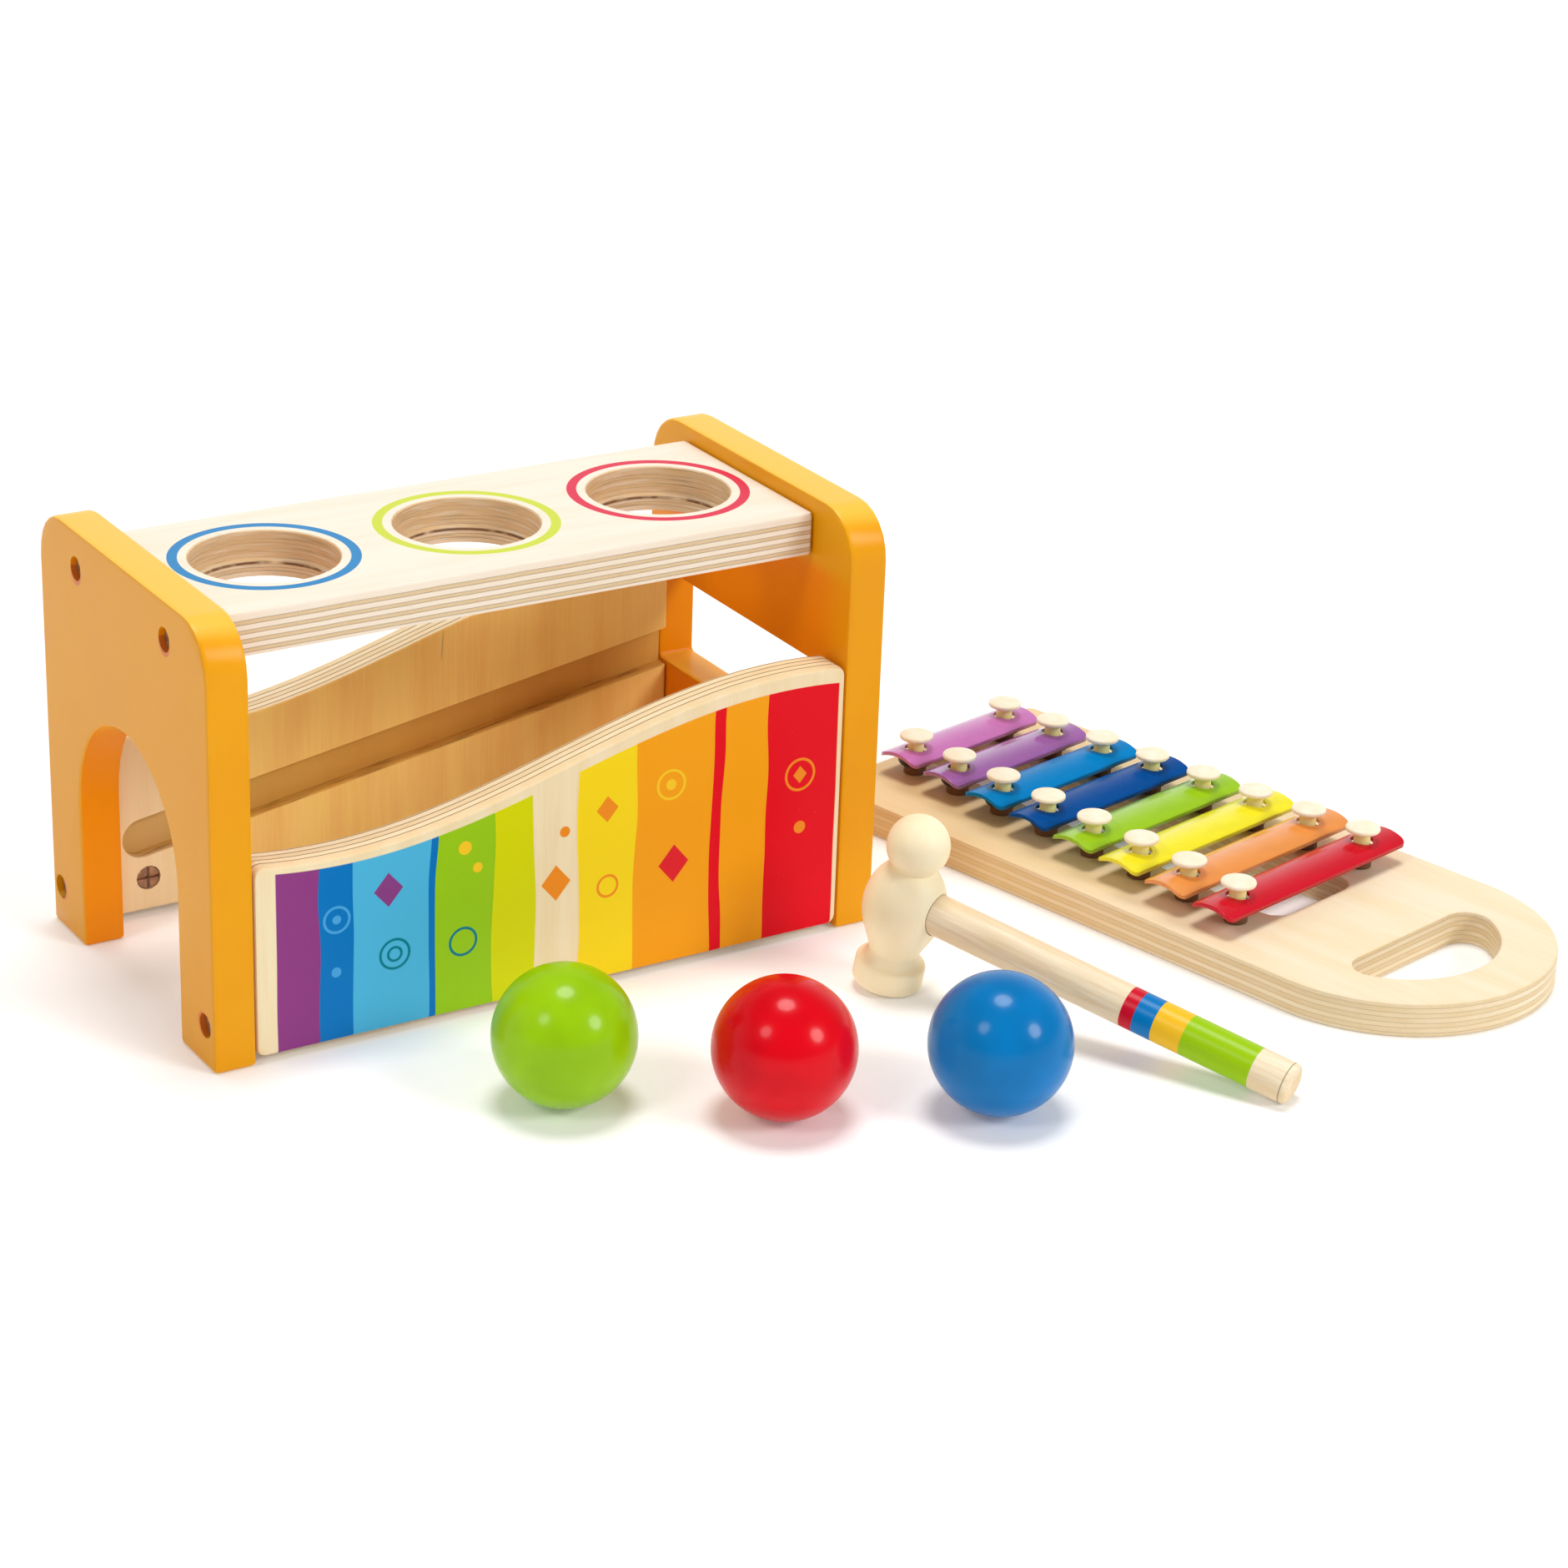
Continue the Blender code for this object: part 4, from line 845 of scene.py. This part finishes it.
# %% [markdown]
# ## Sound bars
#
# Each bar is a strip of sheet steel, punched with two holes, rolled to a shallow arch and sprayed
# with glossy enamel. A bar could be a bent box, but its rounded corners and punched holes would be
# lost. So a flat outline with two holes is filled as a 2D curve with a fine bevel, cut into
# lengthwise strips, and every point is then lifted onto the arch.

# %% Roll the bars
BAR_WIDTH, BAR_SHEET, BAR_RISE = 17.5, 1.5, 2.5
BAR_CORNER, BAR_BEVEL = 2.6, 0.3
BAR_HOLE, HOLE_SPACING = 4, 0.70
BAR_SEAT = 18
SHORTEST, LONGEST = 67.5, 96.5
BAR_STEP = (LONGEST - SHORTEST) / (BAR_COUNT - 1)
BAR_LENGTHS = [SHORTEST + BAR_STEP * count for count in range(BAR_COUNT)]
STRIPS, CORNER_STEPS, HOLE_STEPS = 14, 6, 32


def arc(centre, radius, start, end, steps):
    """Points along part of a circle, angles in degrees."""
    angles = [math.radians(start + (end - start) * i / steps) for i in range(steps + 1)]
    return [(centre[0] + radius * math.cos(a), centre[1] + radius * math.sin(a)) for a in angles]


def bar_outline(length):
    """A bar's flat outline with rounded corners, X across it and Y along it."""
    side, end = BAR_WIDTH / 2 - BAR_CORNER, length / 2 - BAR_CORNER
    points = []
    for count, (x, y) in enumerate(((side, -end), (side, end), (-side, end), (-side, -end))):
        points += arc((x, y), BAR_CORNER, 90 * count - 90, 90 * count, CORNER_STEPS)
    return points


def flat_plate(name, outline, holes, thickness, bevel):
    """A plate with holes and softened edges, its middle on z = 0, all in millimetres."""
    curve = bpy.data.curves.new(name, "CURVE")
    curve.dimensions, curve.fill_mode = "2D", "BOTH"
    curve.extrude = thickness / 2 - bevel
    curve.bevel_depth, curve.bevel_resolution, curve.offset = bevel, 2, -bevel
    for points in (outline, *holes):
        line = curve.splines.new("POLY")
        line.points.add(len(points) - 1)
        for point, (x, y) in zip(line.points, points):
            point.co = (x, y, 0, 1)
        line.use_cyclic_u = True
    holder = add_object(name, curve)
    graph = bpy.context.evaluated_depsgraph_get()
    mesh = bpy.data.meshes.new_from_object(holder.evaluated_get(graph))
    bpy.data.objects.remove(holder)
    return mesh


def bar_mesh(name, length, place):
    """An arched bar, its low edges at the frame's z = 0, with normals that bend as it does."""
    spacing = length * HOLE_SPACING / 2
    turn = (360, 360 / HOLE_STEPS, HOLE_STEPS - 1)
    holes = [arc((0, y), BAR_HOLE, *turn) for y in (-spacing, spacing)]
    mesh = flat_plate(name, bar_outline(length), holes, BAR_SHEET, BAR_BEVEL)
    shape = bmesh.new()
    shape.from_mesh(mesh)
    bmesh.ops.remove_doubles(shape, verts=shape.verts, dist=0.001)
    for count in range(1, STRIPS):
        cut = (BAR_WIDTH * (count / STRIPS - 0.5), 0, 0)
        everything = [*shape.verts, *shape.edges, *shape.faces]
        bmesh.ops.bisect_plane(shape, geom=everything, plane_co=cut, plane_no=(1, 0, 0))
    shape.normal_update()
    bow = (BAR_WIDTH ** 2 / 4 + BAR_RISE ** 2) / (2 * BAR_RISE)
    normals = []
    for vert in shape.verts:
        flat = abs(vert.co.z) > BAR_SHEET / 2 - 0.01
        normal = Vector((0, 0, math.copysign(1, vert.co.z))) if flat else vert.normal.copy()
        bend = Matrix.Rotation(math.asin(vert.co.x / bow), 3, "Y")
        normals.append(place.to_3x3() @ bend @ normal)
        vert.co.z += BAR_SHEET / 2 + math.sqrt(bow ** 2 - vert.co.x ** 2) - (bow - BAR_RISE)
    shape.transform(place @ Matrix.Scale(MM, 4))
    shape.to_mesh(mesh)
    shape.free()
    mesh.shade_smooth()
    mesh.normals_split_custom_set_from_vertices(normals)
    return mesh


print("bar lengths in mm:", [round(length, 1) for length in BAR_LENGTHS])

# %% [markdown]
# ## Enamel
#
# Enamel on steel is glossy and even, but not perfect: it puddles a little, and play leaves fine
# dull marks all over it. A clear coat over the colour gives the white sheen of the photograph. The
# blues show none of it, so each colour brings its own gloss.

# %% Enamel the bars
BAR_COLOURS = (
    ("pink", tint(202, 118, 186), 0.6),
    ("purple", tint(157, 92, 167), 1),
    ("light_blue", tint(0, 128, 196), 0),
    ("dark_blue", tint(0, 74, 148), 0),
    ("green", tint(152, 198, 20), 0.45),
    ("yellow", tint(240, 230, 34), 0.45),
    ("orange", tint(234, 148, 70), 0.6),
    ("red", tint(204, 0, 34), 0.3),
)


def enamel(name, colour, gloss, place):
    """Enamel with puddles and the marks of play, under a clear coat of that gloss."""
    paint = Finish(name)
    x, y, z = paint.spot(place)
    puddle = paint.noise(x * 0.25, y * 0.12, z * 0.25, 2)
    marks = paint.rise(paint.noise(x * 0.9, y * 0.3, z * 0.9, 3, 0.6), 0.58, 0.75)
    dark = tuple(part * 0.95 for part in colour)
    paint.surface(
        Base_Color=paint.blend(paint.rise(puddle, 0.3, 0.7), dark, colour),
        Roughness=0.25 + marks * 0.05,
        Normal=paint.bump(puddle, 0.004 * MM),
        Specular_IOR_Level=0.08 + 0.33 * gloss,
        Coat_Weight=gloss,
        Coat_Roughness=0.08,
    )
    return paint.material


for count, (colour_name, colour, gloss) in enumerate(BAR_COLOURS):
    node = f"bar_{count + 1}_{colour_name}"
    middle = box_middle(node)
    place = frame_at((middle.x, middle.y, BAR_SEAT * MM), board_turn)
    mesh = bar_mesh(f"{node}_rolled", BAR_LENGTHS[count], place)
    finish = enamel(f"{colour_name}_enamel", colour, gloss, place)
    show(f"{node}_rolled", mesh, node, finish, node)
print("bars:", len(BAR_COLOURS))

# %% [markdown]
# ## A lathe
#
# Pegs, rubber rings, the hammer and the balls are all round about an axis. A lathe in code takes
# half the outline, as radius and height, and spins it. Blender's Screw modifier does the same, but
# in code the poles close in one point and the sides can be counted.

# %% Turn a profile
def lathe(name, profile, sides, place, closed=False):
    """A mesh from (radius, height) pairs in millimetres, spun about the Z of a frame."""
    shape = bmesh.new()
    rings = []
    for radius, height in profile:
        if radius < 0.001:
            ring = [shape.verts.new((0, 0, height * MM))] * sides
        else:
            angles = [2 * math.pi * i / sides for i in range(sides)]
            spots = [(radius * math.cos(a), radius * math.sin(a), height) for a in angles]
            ring = [shape.verts.new(Vector(spot) * MM) for spot in spots]
        rings.append(ring)
    for low, high in zip(rings, rings[1:] + rings[:1] if closed else rings[1:]):
        for i in range(sides):
            j = (i + 1) % sides
            corners = list(dict.fromkeys((low[i], low[j], high[j], high[i])))
            shape.faces.new(corners)
    bmesh.ops.recalc_face_normals(shape, faces=shape.faces)
    shape.transform(place)
    mesh = bpy.data.meshes.new(name)
    shape.to_mesh(mesh)
    shape.free()
    return smoothed(mesh)


print("a lathe is ready")

# %% [markdown]
# ## Turned pale wood
#
# The pegs and the hammer are turned from pale hardwood. Turning leaves very fine rings round the
# axis, the grain runs along it, and where the tool crosses the end grain the surface is a little
# darker and duller. The rings are bumps only, too fine to see as colour.

# %% Finish turned wood
def turned_wood(name, place, pale, warm, grain_share, reach=1):
    """Pale wood turned about a frame's Z, with its grain along Z."""
    wood = Finish(name)
    x, y, z = wood.spot(place)
    grain = streaks(wood, z, x * reach, y * reach)
    end = wood.rise(wood.facing(place)[2], 0.55, 1)
    speck = wood.rise(wood.noise(x * 2.4, y * 2.4, z * 0.4, 2, 0.7), 0.45, 0.75)
    tool = wood.noise(x * 0.1, y * 0.1, z * 3.2, 1)
    tone = wood.blend(grain * grain_share, pale, warm)
    wood.surface(
        Base_Color=wood.blend(end * (0.04 + speck * 0.14), tone, END_GRAIN),
        Roughness=0.40 + grain * 0.08 + end * 0.08,
        Normal=wood.bump(tool * 0.6 - grain * 0.3, 0.03 * MM),
        Specular_IOR_Level=0.3,
    )
    return wood


peg_wood = turned_wood("peg_beech", XYLOPHONE, tint(251, 243, 224), tint(246, 228, 194), 0.7, 2)
head_wood = turned_wood("hammer_head_beech", HAMMER, tint(253, 241, 206), tint(253, 229, 184), 0.4)
print("turned woods:", peg_wood.material.name, head_wood.material.name)

# %% [markdown]
# ## Pegs and rubber rings
#
# Each bar hangs loosely on two pegs with low domed heads, over soft black rubber rings that let it
# ring. The heads are pale, and the stems under them are painted amber, as warm painted shade.
# Rubber is dull and slightly dusty, its moulded edge is fat and round, and brown varnish clings to
# its neck.
# One peg could be copied sixteen times, but each would show the same grain. Turned in its own
# place, each is cut from another spot of the solid pattern.

# %% Set the pegs and rubber rings
PEG_STEM, PEG_HEAD = 2.9, 6
PEG_FOOT, PEG_UNDER, PEG_RIM, PEG_CROWN = -8.5, 13.4, 14.8, 15.7
RING_BORE, RING_NECK, RING_FLANGE = 3.2, 4, 6.2
VARNISHED_NECK = tint(120, 78, 46)
RING_FOOT, RING_LOW, RING_TOP = 0.3, 3.4, 6.99


def peg_profile():
    """Half the outline of a peg, z = 0 at the board's face."""
    profile = [(0, PEG_FOOT), (PEG_STEM - 0.4, PEG_FOOT), (PEG_STEM, PEG_FOOT + 0.4)]
    profile += [(PEG_STEM, PEG_UNDER - 0.3), (PEG_STEM + 0.3, PEG_UNDER)]
    profile += arc((PEG_HEAD - 0.5, PEG_UNDER + 0.5), 0.5, -90, 0, 4)
    profile += arc((PEG_HEAD - 0.8, PEG_RIM - 0.6), 0.8, 0, 70, 5)
    for share in (0.66, 0.33):
        profile.append((PEG_HEAD * share, PEG_RIM + (PEG_CROWN - PEG_RIM) * (1 - share ** 2)))
    return profile + [(0, PEG_CROWN)]


def ring_profile():
    """Half the outline of a rubber ring, with a fat round flange."""
    fat = (RING_TOP - RING_LOW) / 2
    profile = [(RING_BORE, RING_FOOT), (RING_NECK, RING_FOOT), (RING_NECK, RING_LOW)]
    profile += arc((RING_FLANGE - fat, RING_LOW + fat), fat, -90, 90, 12)
    return profile + [(RING_BORE, RING_TOP)]


STEM_SHADE_AMBER = tint(255, 246, 158)
x, y, z = peg_wood.spot(XYLOPHONE)
# Painted warm shade: the stem under each head is amber.
painted_stem_shade = peg_wood.rise(z, BOARD_TOP + PEG_UNDER - 0.6, BOARD_TOP + PEG_UNDER, 0.8, 0)
peg_wood.surface(Base_Color=peg_wood.blend(painted_stem_shade, peg_wood.colour_so_far(), STEM_SHADE_AMBER))

rubber = Finish("black_rubber_rings")
x, y, z = rubber.spot(XYLOPHONE)
dust = rubber.rise(rubber.noise(x * 0.7, y * 0.7, z * 0.7, 4, 0.7), 0.45, 0.7)
neck = rubber.rise(z, BOARD_TOP + RING_LOW - 0.3, BOARD_TOP + RING_LOW, 0.8, 0)
dusty = rubber.blend(dust, (0.010, 0.009, 0.009), (0.035, 0.032, 0.030))
rubber.surface(
    Base_Color=rubber.blend(neck, dusty, VARNISHED_NECK),
    Roughness=0.46 + dust * 0.2,
    Normal=rubber.bump(dust, 0.02 * MM),
)
keys = [f"{count}_{hand}" for count in range(1, BAR_COUNT + 1) for hand in ("near", "far")]
for key in keys:
    middle = box_middle(f"peg_{key}")
    place = frame_at((middle.x, middle.y, BOARD_TOP * MM))
    peg = lathe(f"peg_{key}_turned", peg_profile(), 48, place)
    show(f"peg_{key}_turned", peg, "xylophone", peg_wood.material, f"peg_{key}")
    ring = lathe(f"ring_{key}_rubber", ring_profile(), 48, place, closed=True)
    show(f"ring_{key}_rubber", ring, "xylophone", rubber.material, f"grommet_{key}")
print("pegs and rings:", len(keys))

# %% [markdown]
# ## The hammer's head
#
# The head is one turned piece: a disc foot, a narrow waist, a full belly and a ball on top. Its
# outline is drawn from arcs, part of a sine and part of an ellipse, and it is spun with many sides,
# because its soft shading would show any flat. The handle goes into a real socket, cut by a
# Boolean, so that a fine dark line runs round the joint as on the real hammer.

# %% Turn the head
FOOT_RADIUS, FOOT_HEIGHT, FOOT_ROUND = 11.6, 8.6, 1.6
WAIST_RADIUS, WAIST_HEIGHT = 8.2, 11.8
BELLY_RADIUS, BELLY_HEIGHT = 13.65, 29
SHOULDER_REACH = 17
KNOB_RADIUS, KNOB_HEIGHT = 10.35, 51.25
HANDLE_RADIUS, HANDLE_SEAT, SOCKET_PLAY = 6.8, 11.2, 0.3
HEAD_STEPS, SHOULDER_STEPS = 18, 40
SOCKET_MOUTH = 20


def head_profile():
    """Half the outline of the hammer's head, from the foot up."""
    inner = FOOT_RADIUS - FOOT_ROUND
    profile = [(0, 0)]
    profile += arc((inner, FOOT_ROUND), FOOT_ROUND, -90, 0, 6)
    profile += arc((inner, FOOT_HEIGHT - FOOT_ROUND), FOOT_ROUND, 0, 80, 6)
    profile.append((WAIST_RADIUS + 1.05, FOOT_HEIGHT + 0.8))
    for i in range(HEAD_STEPS + 1):
        share = i / HEAD_STEPS
        swell = math.sin(math.pi / 2 * share) ** 1.25
        radius = WAIST_RADIUS + (BELLY_RADIUS - WAIST_RADIUS) * swell
        profile.append((radius, WAIST_HEIGHT + (BELLY_HEIGHT - WAIST_HEIGHT) * share))
    for i in range(1, SHOULDER_STEPS):
        height = BELLY_HEIGHT + SHOULDER_REACH * i / SHOULDER_STEPS
        shoulder = BELLY_RADIUS * math.sqrt(1 - ((height - BELLY_HEIGHT) / SHOULDER_REACH) ** 2)
        below_knob = KNOB_RADIUS ** 2 - (KNOB_HEIGHT - height) ** 2
        if below_knob > 0 and shoulder ** 2 <= below_knob:
            break
        profile.append((shoulder, height))
    start = math.degrees(math.asin((height - KNOB_HEIGHT) / KNOB_RADIUS))
    knob = arc((0, KNOB_HEIGHT), KNOB_RADIUS, start, 90, HEAD_STEPS + 6)
    return profile + knob[:-1] + [(0, KNOB_HEIGHT + KNOB_RADIUS)]


def cut_socket(mesh):
    """Bores the handle's socket in the head and returns the cut mesh."""
    wide = HANDLE_RADIUS + SOCKET_PLAY
    profile = [(0, HANDLE_SEAT), (wide, HANDLE_SEAT), (wide, SOCKET_MOUTH), (0, SOCKET_MOUTH)]
    bore = lathe("socket_bore", profile, 64, HANDLE)
    blank, tool = add_object("head_blank", mesh), add_object("socket_bore", bore)
    cut = blank.modifiers.new("socket", "BOOLEAN")
    cut.operation, cut.solver, cut.object = "DIFFERENCE", "EXACT", tool
    graph = bpy.context.evaluated_depsgraph_get()
    result = bpy.data.meshes.new_from_object(blank.evaluated_get(graph))
    for holder in (blank, tool):
        bpy.data.objects.remove(holder)
    return result


head = smoothed(cut_socket(lathe("hammer_head_turned", head_profile(), 96, HAMMER)))
show("hammer_head_turned", head, "hammer", head_wood.material, "hammer_head")
print("head faces:", len(head.polygons))

# %% [markdown]
# ## The banded handle
#
# The handle is a straight-grained dowel with stronger figure than the head. Near its end it is
# dipped in four glossy colours, measured along it from the head's middle. The bands are read from a
# ramp by distance, so their edges are exact, and the paint is glossier than the bare wood and hides
# its grain. A thin dark line runs round the rounded end.

# %% Turn and band the handle
HANDLE_END, END_ROUND = 141.5, 1.8
DIP_START, DIP_END = 82.8, 128.5
DIPS = (
    (DIP_START, tint(206, 12, 40)),
    (87.2, tint(0, 120, 190)),
    (94, tint(246, 192, 36)),
    (104.1, tint(156, 200, 4)),
)

seat = HANDLE_SEAT + SOCKET_PLAY
end_edge = (HANDLE_RADIUS - END_ROUND, HANDLE_END - END_ROUND)
profile = [(0, seat), (HANDLE_RADIUS, seat), (HANDLE_RADIUS, 60), (HANDLE_RADIUS, 100)]
profile += arc(end_edge, END_ROUND, 0, 90, 8) + [(0, HANDLE_END)]

dowel = turned_wood("handle_beech", HANDLE, tint(250, 236, 208), tint(224, 193, 146), 0.8, 0.8)
x, y, z = dowel.spot(HANDLE)
_, ink = banded(dowel, DIPS, DIP_START, DIP_END, z)
dipped = between(dowel, z, DIP_START, DIP_END, 0.12)
pen = dowel.rise(abs(z - (HANDLE_END - END_ROUND - 0.3)), 0.1, 0.3, 0.6, 0)
marked = dowel.blend(pen, dowel.colour_so_far(), GLUE)
dowel.surface(
    Base_Color=dowel.blend(dipped, marked, ink),
    Roughness=0.42 - dipped * 0.14,
    Specular_IOR_Level=0.16,
)
handle = lathe("hammer_handle_turned", profile, 72, HANDLE)
show("hammer_handle_turned", handle, "hammer", dowel.material, "hammer_handle")
print("dips:", len(DIPS))

# %% [markdown]
# ## Lacquered balls
#
# The balls are turned from solid wood and dipped in glossy lacquer. Under the gloss the wood still
# shows: faint grain swells, and shallow flats where the ball was sanded. Those make the highlights
# in the photograph soft and slightly uneven, which a perfect sphere's are not.

# %% Lacquer the balls
BALL_RADIUS = 22.49
BALL_COLOURS = (
    ("green", tint(152, 201, 10)),
    ("red", tint(222, 0, 22)),
    ("blue", tint(0, 120, 190)),
)


def lacquer(name, colour):
    """Dipped lacquer over turned wood."""
    coat = Finish(name)
    x, y, z = coat.spot(BENCH)
    swell = coat.noise(x * 0.08, y * 0.5, z * 0.5, 2)
    flats = coat.noise(x * 0.12, y * 0.12, z * 0.12, 1)
    thick = coat.rise(coat.noise(x * 0.05, y * 0.05, z * 0.05, 2), 0.35, 0.65)
    dark = tuple(part * 0.86 for part in colour)
    coat.surface(
        Base_Color=coat.blend(thick, dark, colour),
        Roughness=0.24 + thick * 0.03,
        Normal=coat.bump(swell * 0.5 + flats, 0.10 * MM),
        Specular_IOR_Level=0.08,
        Coat_Weight=0.22,
        Coat_Roughness=0.12,
    )
    return coat.material


profile = [(0, -BALL_RADIUS), *arc((0, 0), BALL_RADIUS, -90, 90, 48)[1:-1], (0, BALL_RADIUS)]
for colour_name, colour in BALL_COLOURS:
    node = f"ball_{colour_name}"
    ball = lathe(f"{node}_dipped", profile, 96, Matrix.Translation(box_middle(node)))
    show(f"{node}_dipped", ball, node, lacquer(f"{colour_name}_lacquer_dip", colour), node)
print("balls:", [name for name, _ in BALL_COLOURS])
